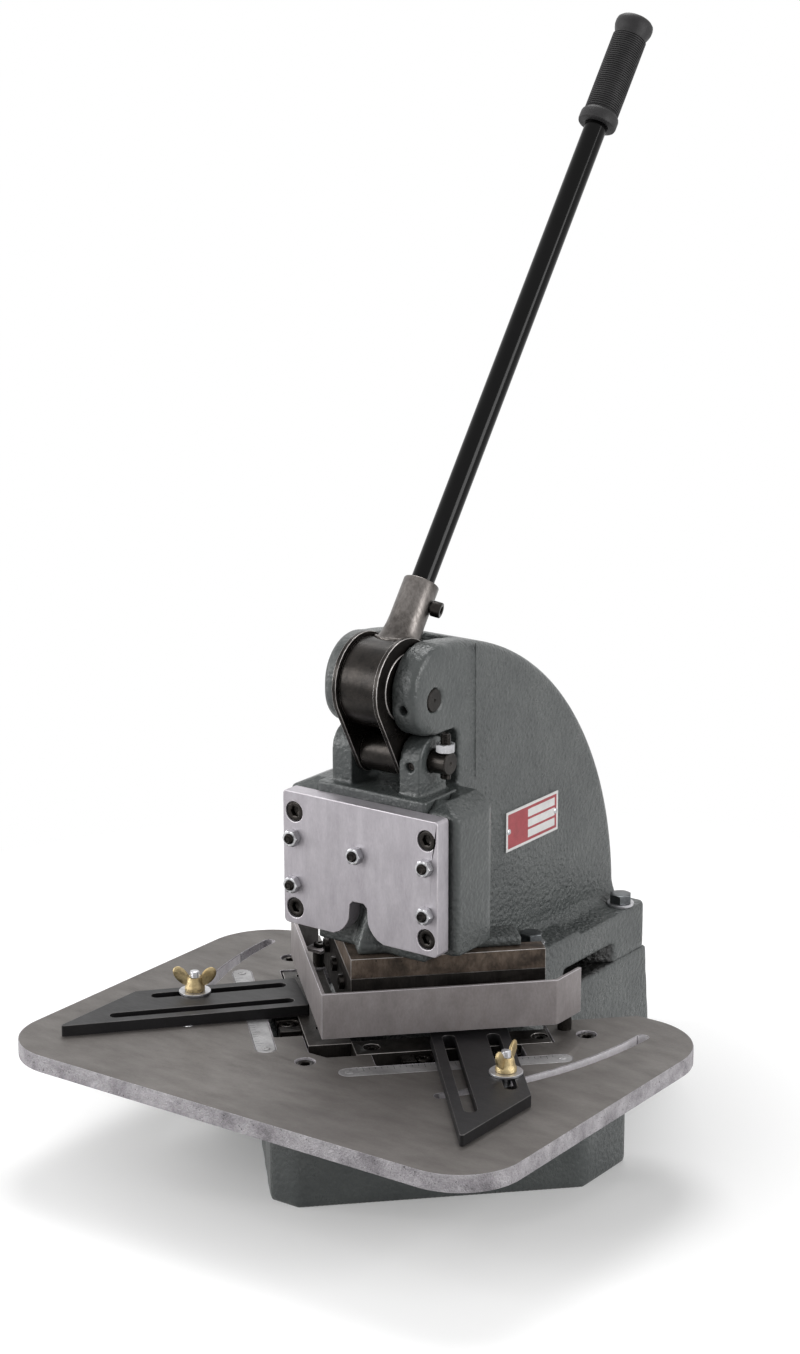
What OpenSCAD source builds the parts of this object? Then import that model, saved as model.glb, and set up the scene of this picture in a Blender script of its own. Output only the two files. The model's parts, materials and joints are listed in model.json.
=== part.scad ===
// Corner notcher: a bench press that cuts a square corner out of sheet metal.
// Millimetres. +X is the operator's right, +Y points away from the operator, +Z is up.
// The origin lies on the bench, in the middle of the four bench bolts. The machine is drawn
// with the front plate's outer face at y = 0 and is then set back to that origin by seat().
//
// Places near the blades use two plan coordinates that follow the 45 degree cutting edges:
// c is how far a line lies in front of the corner, c = |x| - y, and s runs along the edge,
// s = |x| + y. vee(c, s) turns them into x and y on the right-hand side.

/* [Blades] */
// Length of one cutting edge, measured along it
blade_len = 162; // [150:1:165]
// Height of the upper blade's edge above the table at rest
blade_lift = 8; // [7:0.5:10]
// Gap between an upper blade and its lower die
blade_gap = 0.07; // [0.05:0.01:0.1]
// Thickness of an upper blade
blade_t = 16; // [14:1:18]
// Width of the left lower die
left_die_w = 36; // [28:1:36]
// Width of the right lower die
right_die_w = 29; // [20:1:29]

/* [Table] */
// Width of the table, left to right
table_w = 484; // [470:1:500]
// Height of the table's top face above the bench
table_top = 110; // [108:0.5:112]
// Thickness of the table and of the dies beside it
table_t = 14.5; // [14:0.5:16]
// Sideways offset of the table's openings from the blades
table_shift = -5; // [-5:0.5:0]
// Radius of each curved clamp slot
arc_r = 359; // [355:1:362]

/* [Fences] */
// Thickness of a fence
fence_t = 9.7; // [8:0.1:10]
// Width of a fence
fence_w = 64.3; // [62:0.1:66]
// Length of a fence along its long edge
fence_len = 211; // [205:1:215]
// Angle between a fence and the X axis
fence_angle = 48.6; // [46:0.1:50]

/* [Frame] */
// Half width of the upright web and its ears
web_half = 45.6; // [44:0.1:47]
// Half width of the foot of the frame and of the tail of the base
foot_half = 77; // [75:1:78]
// Half width of the housing that guides the ram
housing_half = 84; // [82:1:86]
// Radius of the curved back of the frame
back_r = 289; // [287:0.5:289]

/* [Lever] */
// Height of the fixed upper pin
pin_z = 394.5; // [394:0.5:395]
// Radius of both pivot pins
pin_r = 9.5; // [9:0.1:9.5]
// Eccentricity of the lever hub about the upper pin
throw = 12; // [11:0.5:12]
// Lean of the handle from the vertical at rest
handle_lean = 36.4; // [34:0.1:38]
// Reach of the handle from the hub's centre to the end of the grip
handle_reach = 628; // [560:1:660]
// Radius of the handle bar
bar_r = 9.75; // [8:0.05:9.75]

/* [Guard] */
// Height of the guard strip
guard_h = 38.6; // [34:0.1:42]
// Gap between the table and the guard
guard_lift = 14.7; // [12:0.1:16]
// Thickness of the guard strip
guard_t = 3; // [2:0.5:4]

/* [Hidden] */
$fn = 48;

iron = "DarkSlateGray";      // painted castings
steel = "Gray";              // ground steel
black = "#2b2a29";           // blackened steel
bright = "Gainsboro";        // zinc plate
sliver = 0.05;               // clearance between parts that only touch
over = 1;                    // how far a cut runs past the face it opens

// Bench bolts
bench_mid = 130;             // the origin, behind the plate's face
bench_dx = 110;
bench_dy = 320;
bench_hole_r = 4.25;

// Heights
deck = table_top - table_t;  // the base's top under the table
part_z = table_top - 2;      // where the frame's foot meets the base
gap_top = part_z + 18;       // roof of the sheet's throat
foot_top = part_z + 42;
pad_h = 4;                   // raised front of the foot
pad_back = 217;              // where it ends, in y
house_low = 192;
house_top = 308;
cheek_top = 316;
blade_low = table_top + blade_lift;
block_low = 163.8;
block_top = 181;
ram_top = 317;
ram_foot_top = 189.5;

// Depths, measured from the plate's face
plate_t = 15.5;
house_y = 18;
ram_y0 = plate_t + 0.1;
ram_y1 = 61.9;
web_front = 100;
foot_front = 130;
foot_back = 325;
throat_back = 251;
pin_y = 42;

// The cutting corner
cut_c = 12.3;                                   // c of both upper blades' outer faces
tip_s = cut_c + blade_len * sqrt(2) - 2 * cut_c; // s at the blades' outer ends
die_c = cut_c + blade_gap * sqrt(2);
block_in_c = cut_c - 38 * sqrt(2);
tip_in_c = cut_c - 17 * sqrt(2);
blade_in_c = cut_c - blade_t * sqrt(2);
left_die_c = die_c + left_die_w * sqrt(2);
right_die_c = die_c + right_die_w * sqrt(2);

// Lever train: the hub's centre lies ahead of and above the fixed pin
throw_angle = 130;
hub_y = pin_y + throw * cos(throw_angle);
hub_z = pin_z + throw * sin(throw_angle);
lower_y = 43;
lower_z = pin_z - 50.5;
hub_half = 18.1;
boss_half = 22.5;
boss_r = 28;
slot_half = 23.1;
link_slack = 2.7;            // room round the lower pin in the links
link_offset = 2.15;
stroke = 2 * throw * sin(throw_angle);

// ---- helpers -------------------------------------------------------------------------------

function vee(c, s) = [(s + c) / 2, (s - c) / 2];
function unit(v) = v / norm(v);

// Points of an arc of radius r that rounds the corner b between a and c
function corner_arc(a, b, c, r, n) =
    let (u = unit(a - b), w = unit(c - b), half = acos(u * w) / 2,
         centre = b + unit(u + w) * r / sin(half),
         p = b + u * r / tan(half) - centre,
         q = b + w * r / tan(half) - centre,
         from = atan2(p.y, p.x),
         sweep = (atan2(q.y, q.x) - from + 540) % 360 - 180)
    [for (i = [0:n]) centre + r * [cos(from + sweep * i / n), sin(from + sweep * i / n)]];

// An outline given as [x, y, corner radius] becomes plain points
function rounded(list, n = 8) =
    let (m = len(list), p = [for (v = list) [v.x, v.y]])
    [for (i = [0:m - 1]) each list[i].z == 0 ? [p[i]]
        : corner_arc(p[(i + m - 1) % m], p[i], p[(i + 1) % m], list[i].z, n)];

// A right-hand half outline, front to back, closed by its mirror image
function both(list) =
    concat(list, [for (i = [len(list) - 1:-1:0]) [-list[i].x, list[i].y, list[i].z]]);

function both_plain(list) = concat(list, [for (i = [len(list) - 1:-1:0]) [-list[i].x, list[i].y]]);

// A straight slot with round ends of radius r about the points a and b
function stadium(a, b, r, n = 12) =
    let (t = atan2(b.y - a.y, b.x - a.x) + 90)
    concat([for (i = [0:n]) a + r * [cos(t + 180 * i / n), sin(t + 180 * i / n)]],
        [for (i = [0:n]) b - r * [cos(t + 180 * i / n), sin(t + 180 * i / n)]]);

module seat() translate([0, -bench_mid, 0]) children();

module side(sign) mirror([sign < 0 ? 1 : 0, 0, 0]) children();

module slab(z0, z1) translate([0, 0, z0]) linear_extrude(z1 - z0) children();

module rod_x(x0, x1, r, y, z) translate([x0, y, z]) rotate([0, 90, 0]) cylinder(h = x1 - x0, r = r);

module rod_y(y0, y1, r, x, z) translate([x, y0, z]) rotate([-90, 0, 0]) cylinder(h = y1 - y0, r = r);

module rod_z(z0, z1, r, x, y) translate([x, y, z0]) cylinder(h = z1 - z0, r = r);

// A side profile in y and z, extruded across the machine
module across(half) rotate([90, 0, 90]) translate([0, 0, -half]) linear_extrude(2 * half) children();

// A bar that lies along the right-hand cutting edge
module edge_bar(c0, c1, s0, s1, z0, z1)
    slab(z0, z1) polygon([vee(c0, s0), vee(c0, s1), vee(c1, s1), vee(c1, s0)]);

// A point beside the right-hand edge, x and y turned with it: +x along s, -y away from it
module on_edge(c, s, z) translate([vee(c, s).x, vee(c, s).y, z]) rotate([0, 0, 45]) children();

// A socket head cap screw that hangs below z = 0 with its head above
module cap_screw(r, head_r, head_h, length, key_r) difference() {
    union() {
        cylinder(h = head_h, r = head_r);
        translate([0, 0, -length]) cylinder(h = length, r = r);
    }
    translate([0, 0, head_h * 0.45]) cylinder(h = head_h, r = key_r, $fn = 6);
}

// A hexagon nut standing on z = 0, with a true round bore
module hex_nut(across_r, h, bore_r) difference() {
    cylinder(h = h, r = across_r, $fn = 6);
    translate([0, 0, -over]) cylinder(h = h + 2 * over, r = bore_r);
}

// ---- base ----------------------------------------------------------------------------------

base_c = 118;                // front faces of the base
base_half = 180;
base_lean = 18;              // the left face runs a little steeper than the right
base_nose = 14;              // half width of the flat front
base_back = 130;
tail_back = 338;
wall = 14;
deck_t = 18.5;
chute_c = die_c + 3;
table_screw_r = 5;
table_screw_at = [[0, -68], [154, 112], [-154, 112]];
frame_bolt_r = 6;
frame_bolt_at = [[59.4, 164.8, foot_top + pad_h], [63.5, 303, foot_top]];
frame_washer_r = 12;
left_screws_s = [34, 120, 206];
right_screws_s = [8, 108, 206];
die_screw_r = 4;
clamps_s = [64, 150];
right_clamp_c = 60;
left_clamp_c = 76;
scoop = [205, 258];
tapped = 0.03;               // how much a tapped hole's radius exceeds its screw's

module base_outline(inset) polygon(rounded([
    [max(base_nose - inset * 0.6, 4), base_nose - base_c + inset * 1.1, 10],
    [base_half - inset, base_half - base_c - inset + inset * sqrt(2), 22],
    [base_half - inset, base_back - inset, 8],
    [inset - base_half, base_back - inset, 8],
    [inset - base_half, base_half - base_c + base_lean - inset + inset * sqrt(2), 22],
    [min(inset * 0.6 - base_nose, -4), base_nose - base_c + inset * 1.1, 10]]));

module tail_profile(inset) polygon([
    [base_back - 4 - inset, inset == 0 ? 0 : -over], [tail_back - inset, inset == 0 ? 0 : -over],
    [foot_back + 2 - inset, part_z - inset * 1.2], [base_back - 4 - inset, part_z - inset * 1.2]]);

// Places of the die screws and clamp screws, one side at a time
module at_right_screws(z) for (s = right_screws_s)
    translate(concat(vee((die_c + right_die_c) / 2, s), z)) children();
module at_left_screws(z) for (s = left_screws_s)
    side(-1) translate(concat(vee((die_c + left_die_c) / 2, s), z)) children();
module at_clamp_screws(z) {
    for (s = clamps_s) translate(concat(vee(right_clamp_c + 4, s), z)) children();
    for (s = clamps_s) side(-1) translate(concat(vee(left_clamp_c + 2, s), z)) children();
}
module at_frame_bolts() for (p = frame_bolt_at, sx = [-1, 1]) translate([sx * p.x, p.y, p.z]) children();
module at_bench_bolts() for (sx = [-1, 1], sy = [-1, 1])
    translate([sx * bench_dx / 2, bench_mid + sy * bench_dy / 2, 0]) children();

module base() color(iron) seat() difference() {
    union() {
        difference() {
            union() {
                slab(0, deck) base_outline(0);
                across(foot_half) tail_profile(0);
            }
            slab(-over, deck - deck_t) base_outline(wall);
            across(foot_half - wall) tail_profile(wall);
        }
        at_bench_bolts() cylinder(h = 34, r = 15);
        for (p = frame_bolt_at, sx = [-1, 1]) rod_z(part_z - 40, part_z, frame_washer_r, sx * p.x, p.y);
    }
    // the scrap falls between the dies
    slab(deck - deck_t - over, deck + over)
        polygon([vee(chute_c, -chute_c), vee(chute_c, 186), [-vee(chute_c, 186).x, vee(chute_c, 186).y]]);
    // room for the clamp bolts' heads under the curved slots
    for (sx = [-1, 1]) arc_slot(sx, 20, deck - 9, deck + over);
    at_bench_bolts() translate([0, 0, -over]) cylinder(h = 27, r = bench_hole_r);
    for (p = frame_bolt_at, sx = [-1, 1]) rod_z(part_z - 34, part_z + over, frame_bolt_r + tapped, sx * p.x, p.y);
    for (p = table_screw_at) rod_z(deck - 17, deck + over, table_screw_r + tapped, p.x + table_shift, p.y);
    at_right_screws(deck - 17) cylinder(h = 20, r = die_screw_r + tapped);
    at_left_screws(deck - 17) cylinder(h = 20, r = die_screw_r + tapped);
    at_clamp_screws(deck - 17) cylinder(h = 20, r = die_screw_r + tapped);
    // scooped edge under each side window
    for (sx = [-1, 1]) rod_y(scoop[0], scoop[1], 11, sx * (foot_half + 9), part_z + 2);
}

// ---- frame ---------------------------------------------------------------------------------

back_y = 35;                 // centre of the curved back
back_z = 150;
back_round = 9;              // rounding of the back's edges
ear_r = 29.7;
ear_round = 6;               // rounding of the ears' edges
ear_top_r = 37.7;            // the upper, larger curve of the ears' noses
ear_top_y = pin_y - ear_r + ear_top_r;
ear_top_z = back_at(ear_top_y) - ear_top_r + 0.15;
notch_back = 75;
notch_top = pin_z - ear_r;
slot_back = 99;
fillet_r = 12;
pillar_r = 15;               // the pillars under the foot's front bolts, and their round ends in y
pillar_y = [165, 175];
plate_screw_at = [[66, 291.8], [66, 208.6]];
plate_screw_r = 5;

function back_at(y) = back_z + sqrt(back_r * back_r - (y - back_y) * (y - back_y));

// Side of the web and ears, in y and z, before the curved back is cut
module web_profile() polygon(concat(
    rounded([[notch_back - 20, notch_top, 0], [notch_back, notch_top, 8], [notch_back, house_top + 1, 0],
        [cavity_back + 4, house_top + 1, 0], [cavity_back + 4, house_low, 0]]),
    [[web_front - 4, house_low], [web_front, house_low - 4], [web_front, foot_top - 10],
     [back_y + back_r + 20, foot_top - 10], [back_y + back_r + 20, back_z + back_r + 20],
     [ear_top_y, back_z + back_r + 20], [ear_top_y, ear_top_z], [pin_y, ear_top_z], [pin_y, notch_top]]));

// A disc across the machine, its rim rounded on both sides
function rim(r, round) = concat([[0, -web_half]],
    [for (a = [-90:15:0]) [r - round + round * cos(a), -web_half + round + round * sin(a)]],
    [for (a = [0:15:90]) [r - round + round * cos(a), web_half - round + round * sin(a)]],
    [[0, web_half]]);
module disc(y, z, r, round) translate([0, y, z]) rotate([0, 90, 0]) rotate_extrude($fn = 180) polygon(rim(r, round));

// The ears' noses: a disc about the pin, a larger one above it, and what lies between them
module ear_noses() {
    disc(pin_y, pin_z, ear_r, ear_round);
    intersection() {
        disc(ear_top_y, ear_top_z, ear_top_r, ear_round);
        translate([-web_half - over, 0, pin_z - 3]) cube([2 * (web_half + over), 2 * ear_top_y, 2 * ear_top_r]);
    }
    translate([0, pin_y, pin_z]) rotate([0, 0, -90])
        linear_extrude(ear_top_z - pin_z) polygon(rim(ear_r, ear_round));
}

module web_foot_fillet() rotate([90, 0, 0]) translate([0, 0, -foot_back + 5])
    linear_extrude(foot_back - foot_front - 9)
    polygon(concat([[web_half - 5, foot_top - 2], [web_half - 5, foot_top + fillet_r]],
        [for (a = [180:15:270]) [web_half + fillet_r + fillet_r * cos(a), foot_top + fillet_r + fillet_r * sin(a)]],
        [[web_half + fillet_r, foot_top - 2]]));

// Guide housing with tops that slope down to the sides and to the front
module housing() intersection() {
    slab(house_low, house_top + 20) polygon(rounded(both([[housing_half, house_y, 4], [housing_half, 74, 12]])));
    rotate([90, 0, 0]) translate([0, 0, -90]) linear_extrude(90) polygon(both_plain([
        [housing_half + over, house_low - over], [housing_half + over, house_top - 1.5], [64, cheek_top]]));
    across(100) polygon([[house_y - over, house_low - over], [90, house_low - over], [90, cheek_top + 5],
        [house_y + 12, cheek_top], [house_y - over, house_top - 0.7]]);
}

// Half of the throat's back wall, from the middle out: it flares back toward the side windows
throat_flare = [[73.5, 16], [69, 10], [63.5, 5.5], [57.5, 2.5], [48, 0]];
module throat_plan() polygon(both_plain(concat(
    [[foot_half + over, web_front - over], [foot_half + over, throat_back + 24]],
    [for (p = throat_flare) [p.x, throat_back + p.y]])));

module frame() color(iron) seat() difference() {
    union() {
        intersection() {
            across(web_half + 5) web_profile();
            disc(back_y, back_z, back_r, back_round);
        }
        ear_noses();
        housing();
        slab(part_z, foot_top) polygon(rounded(both([
            [foot_half, foot_front, 5], [foot_half, foot_back, 7]])));
        slab(foot_top - 1, foot_top + pad_h) polygon(rounded(both([
            [foot_half, foot_front, 5], [foot_half, pad_back, 5]])));
        across(web_half) polygon([[web_front, gap_top], [foot_front + 20, gap_top],
            [foot_front + 20, foot_top - 5], [web_front, foot_top - 5]]);
        for (sx = [-1, 1]) side(sx) web_foot_fillet();
    }
    // the ram's guideway, closed in front by the plate
    slab(house_low - over, cheek_top + over) translate([-cavity_half, 0]) square([2 * cavity_half, cavity_back]);
    // landing for the stop screw
    rod_z(stop_low - stroke - 0.6, cheek_top + 9, 9, stop_x, lower_y);
    // the lever slot between the ears
    slab(notch_top - 7, back_z + back_r + over) translate([-slot_half, 0]) square([2 * slot_half, slot_back]);
    // the sheet's throat over the base, with a window on each side
    difference() {
        slab(part_z - over, gap_top) throat_plan();
        for (sx = [-1, 1]) side(sx) slab(part_z - 2 * over, gap_top + over) {
            polygon(stadium([62, pillar_y[0]], [62, pillar_y[1]], pillar_r));
            translate([62, pillar_y[0] - pillar_r]) square([20, pillar_y[1] - pillar_y[0] + 2 * pillar_r]);
        }
    }
    rod_x(-web_half - over, web_half + over, pin_r + 0.02, pin_y, pin_z);
    ear_screw_line(pin_y, pin_z) translate([0, 0, pin_r - 1]) cylinder(h = 40, r = set_r);
    for (p = plate_screw_at, sx = [-1, 1]) rod_y(house_y - over, 52, plate_screw_r + tapped, sx * p.x, p.y);
    for (p = frame_bolt_at, sx = [-1, 1]) rod_z(part_z - over, foot_top + 9, frame_bolt_r + 0.5, sx * p.x, p.y);
    at_frame_bolts() cylinder(h = 30, r = frame_washer_r + over);
    for (z = label_pin_z, y = label_pin_y) rod_x(web_half - 6, web_half + over, 1.53, y, z);
}

set_angle = 8;              // how far the set screws point below the level
set_r = 4;
set_x = 34;
module ear_screw_line(y, z) translate([set_x, y, z]) rotate([90 + set_angle, 0, 0]) children();

module frame_bolts() color(black) seat() at_frame_bolts() {
    translate([0, 0, 2.5]) cylinder(h = 8, r = 10.4, $fn = 6);
    translate([0, 0, -75]) cylinder(h = 78, r = frame_bolt_r);
}

module frame_washers() color(bright) seat() at_frame_bolts() difference() {
    cylinder(h = 2.5, r = frame_washer_r);
    translate([0, 0, -over]) cylinder(h = 6, r = frame_bolt_r + 0.3);
}

// ---- label ---------------------------------------------------------------------------------

label_y = [145, 225];
label_z = [238, 273];
label_pin_y = [149, 221];
label_pin_z = [255.5];
label_t = 0.8;

module label_plate() color("Firebrick") seat() difference() {
    translate([web_half, label_y[0], label_z[0]])
        cube([label_t, label_y[1] - label_y[0], label_z[1] - label_z[0]]);
    for (z = label_pin_z, y = label_pin_y) rod_x(web_half - over, web_half + 3, 1.55, y, z);
}

module label_pins() color(bright) seat() for (z = label_pin_z, y = label_pin_y) {
    rod_x(web_half - 5, web_half + label_t, 1.5, y, z);
    rod_x(web_half + label_t, web_half + label_t + 1, 2.6, y, z);
}

// ---- table ---------------------------------------------------------------------------------

arc_x = -164;                // centre of the right curved slot, before the table's shift
arc_y = 147;
arc_span = [2.2, 35.5];
slot_w = 10;
table_front = -183;
table_back = 172;
open_c = 60;
pocket_c = 94;
pocket_s = [10, 184];
open_s = 224;
scale_c = 107.5;
scale_s = 100;
scale_len = 190;
scale_w = 16;
scale_t = 3;
scale_screw_gap = 174;

// A curved slot of width w from z0 to z1: the stretch of a ring between its end angles, and a
// round end on each that stays a hair inside the ring's walls
module arc_slot(sx, w, z0, z1) translate([table_shift, 0, 0]) side(sx) translate([arc_x, arc_y, 0]) {
    intersection() {
        difference() {
            translate([0, 0, z0]) cylinder(h = z1 - z0, r = arc_r + w / 2, $fn = 180);
            translate([0, 0, z0 - over]) cylinder(h = z1 - z0 + 2 * over, r = arc_r - w / 2, $fn = 180);
        }
        slab(z0 - over, z1 + over) polygon([for (k = [[0.9, 0], [1.1, 0], [1.1, 1], [0.9, 1]])
            k[0] * arc_r * [cos(arc_span[k[1]]), -sin(arc_span[k[1]])]]);
    }
    for (a = arc_span) rod_z(z0, z1, w / 2 - sliver, arc_r * cos(a), -arc_r * sin(a));
}

module table_opening() polygon(rounded(both([
    [9, 9 - open_c, 2],
    concat(vee(open_c, pocket_s[0]), 1.5), concat(vee(pocket_c, pocket_s[0]), 2.5),
    concat(vee(pocket_c, pocket_s[1]), 2.5), concat(vee(open_c, pocket_s[1]), 1.5),
    concat(vee(open_c, open_s), 2.5), concat(vee(-5, open_s), 2.5),
    [table_back - 5, table_back, 0], [table_back - 5, table_back + 20, 0]]), 4));

module scale_outline(grow) on_edge(scale_c, scale_s, 0) polygon(stadium(
    [(scale_w - scale_len) / 2, 0], [(scale_len - scale_w) / 2, 0], scale_w / 2 + grow));

module table() color(steel) seat() difference() {
    slab(deck, table_top) polygon(rounded(both([
        [table_w / 2, table_front, 55], [table_w / 2, table_back, 62]]), 20));
    slab(deck - over, table_top + over) translate([table_shift, 0]) table_opening();
    for (sx = [-1, 1]) arc_slot(sx, slot_w, deck - over, table_top + over);
    for (sx = [-1, 1]) translate([table_shift, 0, 0]) side(sx) {
        slab(table_top - scale_t, table_top + over) scale_outline(0.1);
        for (e = [-1, 1]) on_edge(scale_c, scale_s + e * scale_screw_gap / sqrt(2), deck - over)
            cylinder(h = table_t, r = 2.03);
    }
    for (p = table_screw_at) translate([p.x + table_shift, p.y, 0]) {
        rod_z(table_top - 10, table_top + over, 8.2, 0, 0);
        rod_z(deck - over, table_top + over, table_screw_r + 0.3, 0, 0);
    }
    for (sx = [-1, 1]) rod_z(deck - over, table_top + over, 3.03, sx * post_x, post_y);
}

module table_screws() color(black) seat() for (p = table_screw_at)
    translate([p.x + table_shift, p.y, table_top - 10]) cap_screw(table_screw_r, 7.8, 8.5, 18, 4.6);

module scale(sx) color(bright) seat() translate([table_shift, 0, 0]) side(sx) difference() {
    slab(table_top - scale_t, table_top) scale_outline(0);
    for (e = [-1, 1]) on_edge(scale_c, scale_s + e * scale_screw_gap / sqrt(2), table_top - 6)
        cylinder(h = 8, r = 2.05);
}
module left_scale() scale(-1);
module right_scale() scale(1);

module scale_screws() color(bright) seat() translate([table_shift, 0, 0])
    for (sx = [-1, 1], e = [-1, 1]) side(sx)
        on_edge(scale_c, scale_s + e * scale_screw_gap / sqrt(2), table_top) difference() {
            union() {
                translate([0, 0, -10]) cylinder(h = 10, r = 2);
                cylinder(h = 0.8, r = 3.6);
            }
            translate([-4, -0.4, 0.3]) cube([8, 0.8, 1]);
        }

// ---- dies ----------------------------------------------------------------------------------

// The left die runs past the corner and the right one butts against it
module die(c1, s0, s1) edge_bar(die_c, c1, s0, s1, deck, table_top);

module left_lower_die() color(steel) seat() difference() {
    side(-1) die(left_die_c, -17.7, 222);
    at_left_screws(deck - over) cylinder(h = 30, r = die_screw_r + 0.3);
    at_left_screws(table_top - 9) cylinder(h = 30, r = 6.9);
}

module right_lower_die() color(steel) seat() difference() {
    die(right_die_c, -die_c, 217);
    at_right_screws(deck - over) cylinder(h = 30, r = die_screw_r + 0.3);
    at_right_screws(table_top - 9) cylinder(h = 30, r = 6.9);
}

module lower_die_screws() color(black) seat() {
    at_right_screws(table_top - 9) cap_screw(die_screw_r, 6.5, 8, 18, 3.4);
    at_left_screws(table_top - 9) cap_screw(die_screw_r, 6.5, 8, 18, 3.4);
}

// Slotted blocks that hold the dies sideways
clamp_h = 12;
module die_clamps(c0, c1, cm) for (s = clamps_s) difference() {
    edge_bar(c0, c1, s - 26, s + 26, deck, deck + clamp_h);
    on_edge(cm, s, deck - over) linear_extrude(20) polygon(stadium([0, -4], [0, 4], 4.4));
    on_edge(cm, s, deck + 6) linear_extrude(20) polygon(stadium([0, -4], [0, 4], 7.2));
}

module left_die_clamps() color(black) seat() side(-1)
    die_clamps(left_die_c + 0.3, left_clamp_c + 13, left_clamp_c + 2);
module right_die_clamps() color(black) seat()
    die_clamps(right_die_c + 0.3, right_clamp_c + 14, right_clamp_c + 4);

module die_clamp_screws() color(black) seat() at_clamp_screws(deck + 6) cap_screw(die_screw_r, 6.5, 5.5, 20, 3.4);

// ---- guard ---------------------------------------------------------------------------------

guard_c = 52;
guard_x = 137.4;
guard_back = 121;
guard_z = table_top + guard_lift;
post_x = 127;
post_y = 112.5;

module guard() color("Silver") seat() {
    slab(guard_z, guard_z + guard_h) difference() {
        polygon(rounded(both([[0.2, 0.2 - guard_c, 0], [guard_x, guard_x - guard_c, 5], [guard_x, guard_back, 0]]), 4));
        polygon(rounded(both([[0.2, 0.2 - guard_c + guard_t * sqrt(2), 0],
            [guard_x - guard_t, guard_x - guard_t - guard_c + guard_t * sqrt(2), 3],
            [guard_x - guard_t, guard_back + over, 0]]), 4));
    }
    for (sx = [-1, 1]) side(sx) difference() {
        translate([post_x - 9, post_y - 10, guard_z]) cube([guard_x - guard_t - post_x + 9.5, guard_back - post_y + 10, guard_t]);
        rod_z(guard_z - over, guard_z + 10, 3.3, post_x, post_y);
    }
}

module guard_posts() color(black) seat() for (sx = [-1, 1]) side(sx) difference() {
    rod_z(table_top, guard_z, 6, post_x, post_y);
    rod_z(table_top - over, guard_z + over, 3.3, post_x, post_y);
}

module guard_screws() color(black) seat() for (sx = [-1, 1]) side(sx)
    translate([post_x, post_y, guard_z + guard_t]) cap_screw(3, 5.2, 3.4, guard_lift + guard_t + 12, 2);

// ---- front plate ---------------------------------------------------------------------------

plate_half = 77.4;
plate_low = 194.8;
plate_top = 309;
jack_at = [[66.5, 270], [66.5, 229.8]];
drag_x = -2.5;
drag_z = 267;
notch_x = -1.4;              // the notch over the ram's nose lies a little to the left
notch_side = [[5.5, 226], [8.6, 222.8], [9, 219], [9.6, 210], [11.6, 205.5], [15, 201], [19, 197.6], [24, 195.4]];
nut_r = 7.5;
nut_h = 6.5;
jack_r = 4;

module front_plate() color("LightGray") seat() difference() {
    rotate([90, 0, 0]) translate([0, 0, -plate_t]) linear_extrude(plate_t) difference() {
        polygon(rounded(both([[plate_half, plate_low, 4], [plate_half, plate_top, 3]])));
        translate([notch_x, 0]) polygon(both_plain(concat(notch_side, [[25.5, plate_low - over]])));
    }
    for (p = plate_screw_at, sx = [-1, 1]) {
        rod_y(-over, 10.5, 8.6, sx * p.x, p.y);
        rod_y(-over, 30, plate_screw_r + 0.4, sx * p.x, p.y);
    }
    for (p = jack_at, sx = [-1, 1]) rod_y(-over, 30, jack_r + tapped, sx * p.x, p.y);
    rod_y(-over, 30, jack_r + tapped, drag_x, drag_z);
}

module at_plate(x, y, z) translate([x, y, z]) rotate([90, 0, 0]) children();

module plate_screws() color(black) seat() for (p = plate_screw_at, sx = [-1, 1])
    at_plate(sx * p.x, 10.5, p.y) cap_screw(plate_screw_r, 8, 9.5, 32, 4.6);

module set_screw(r, length, key_r) difference() {
    cylinder(h = length, r = r);
    translate([0, 0, length - 5]) cylinder(h = 6, r = key_r, $fn = 6);
}

module jack_screws() color(black) seat() for (p = jack_at, sx = [-1, 1])
    at_plate(sx * p.x, house_y, p.y) set_screw(jack_r, house_y + nut_h + 3, 2.3);

module drag_screw() color(black) seat() at_plate(drag_x, plate_t + 0.05, drag_z) set_screw(jack_r, plate_t + nut_h + 3, 2.3);

module lock_nuts() color(bright) seat() {
    for (p = jack_at, sx = [-1, 1]) at_plate(sx * p.x, 0, p.y) hex_nut(nut_r, nut_h, jack_r + tapped);
    at_plate(drag_x, 0, drag_z) hex_nut(nut_r, nut_h, jack_r + tapped);
}

// ---- ram -----------------------------------------------------------------------------------

cavity_half = 54;
cavity_back = 62;
ram_half = cavity_half - 0.1;
ram_ear = [24, 44];
ram_ear_r = 20.3;
foot_out_c = 1;
heel_s = 190;                // where the foot ends and the punch block narrows
block_screws_s = [82, 144];
block_screw_c = -26;
blade_screws_s = [52, 112, 176];
blade_screw_z = 145;
head_sink = 4;               // the blade screws' heads stand half proud

module vee_plan(c_out, c_in, s_end) polygon([vee(c_out, -c_out), vee(c_out, s_end), vee(c_in, s_end),
    [0, -c_in], [-vee(c_in, s_end).x, vee(c_in, s_end).y], [-vee(c_out, s_end).x, vee(c_out, s_end).y]]);

module nose() translate([-1, 0, 0]) hull() {
    translate([-4.5, 15.8, 219]) cube([9, 4, 1]);
    slab(block_top, block_top + 6) polygon([[0, -foot_out_c], [17, 17 - foot_out_c], [17, 24], [-17, 24], [-17, 17 - foot_out_c]]);
}

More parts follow.
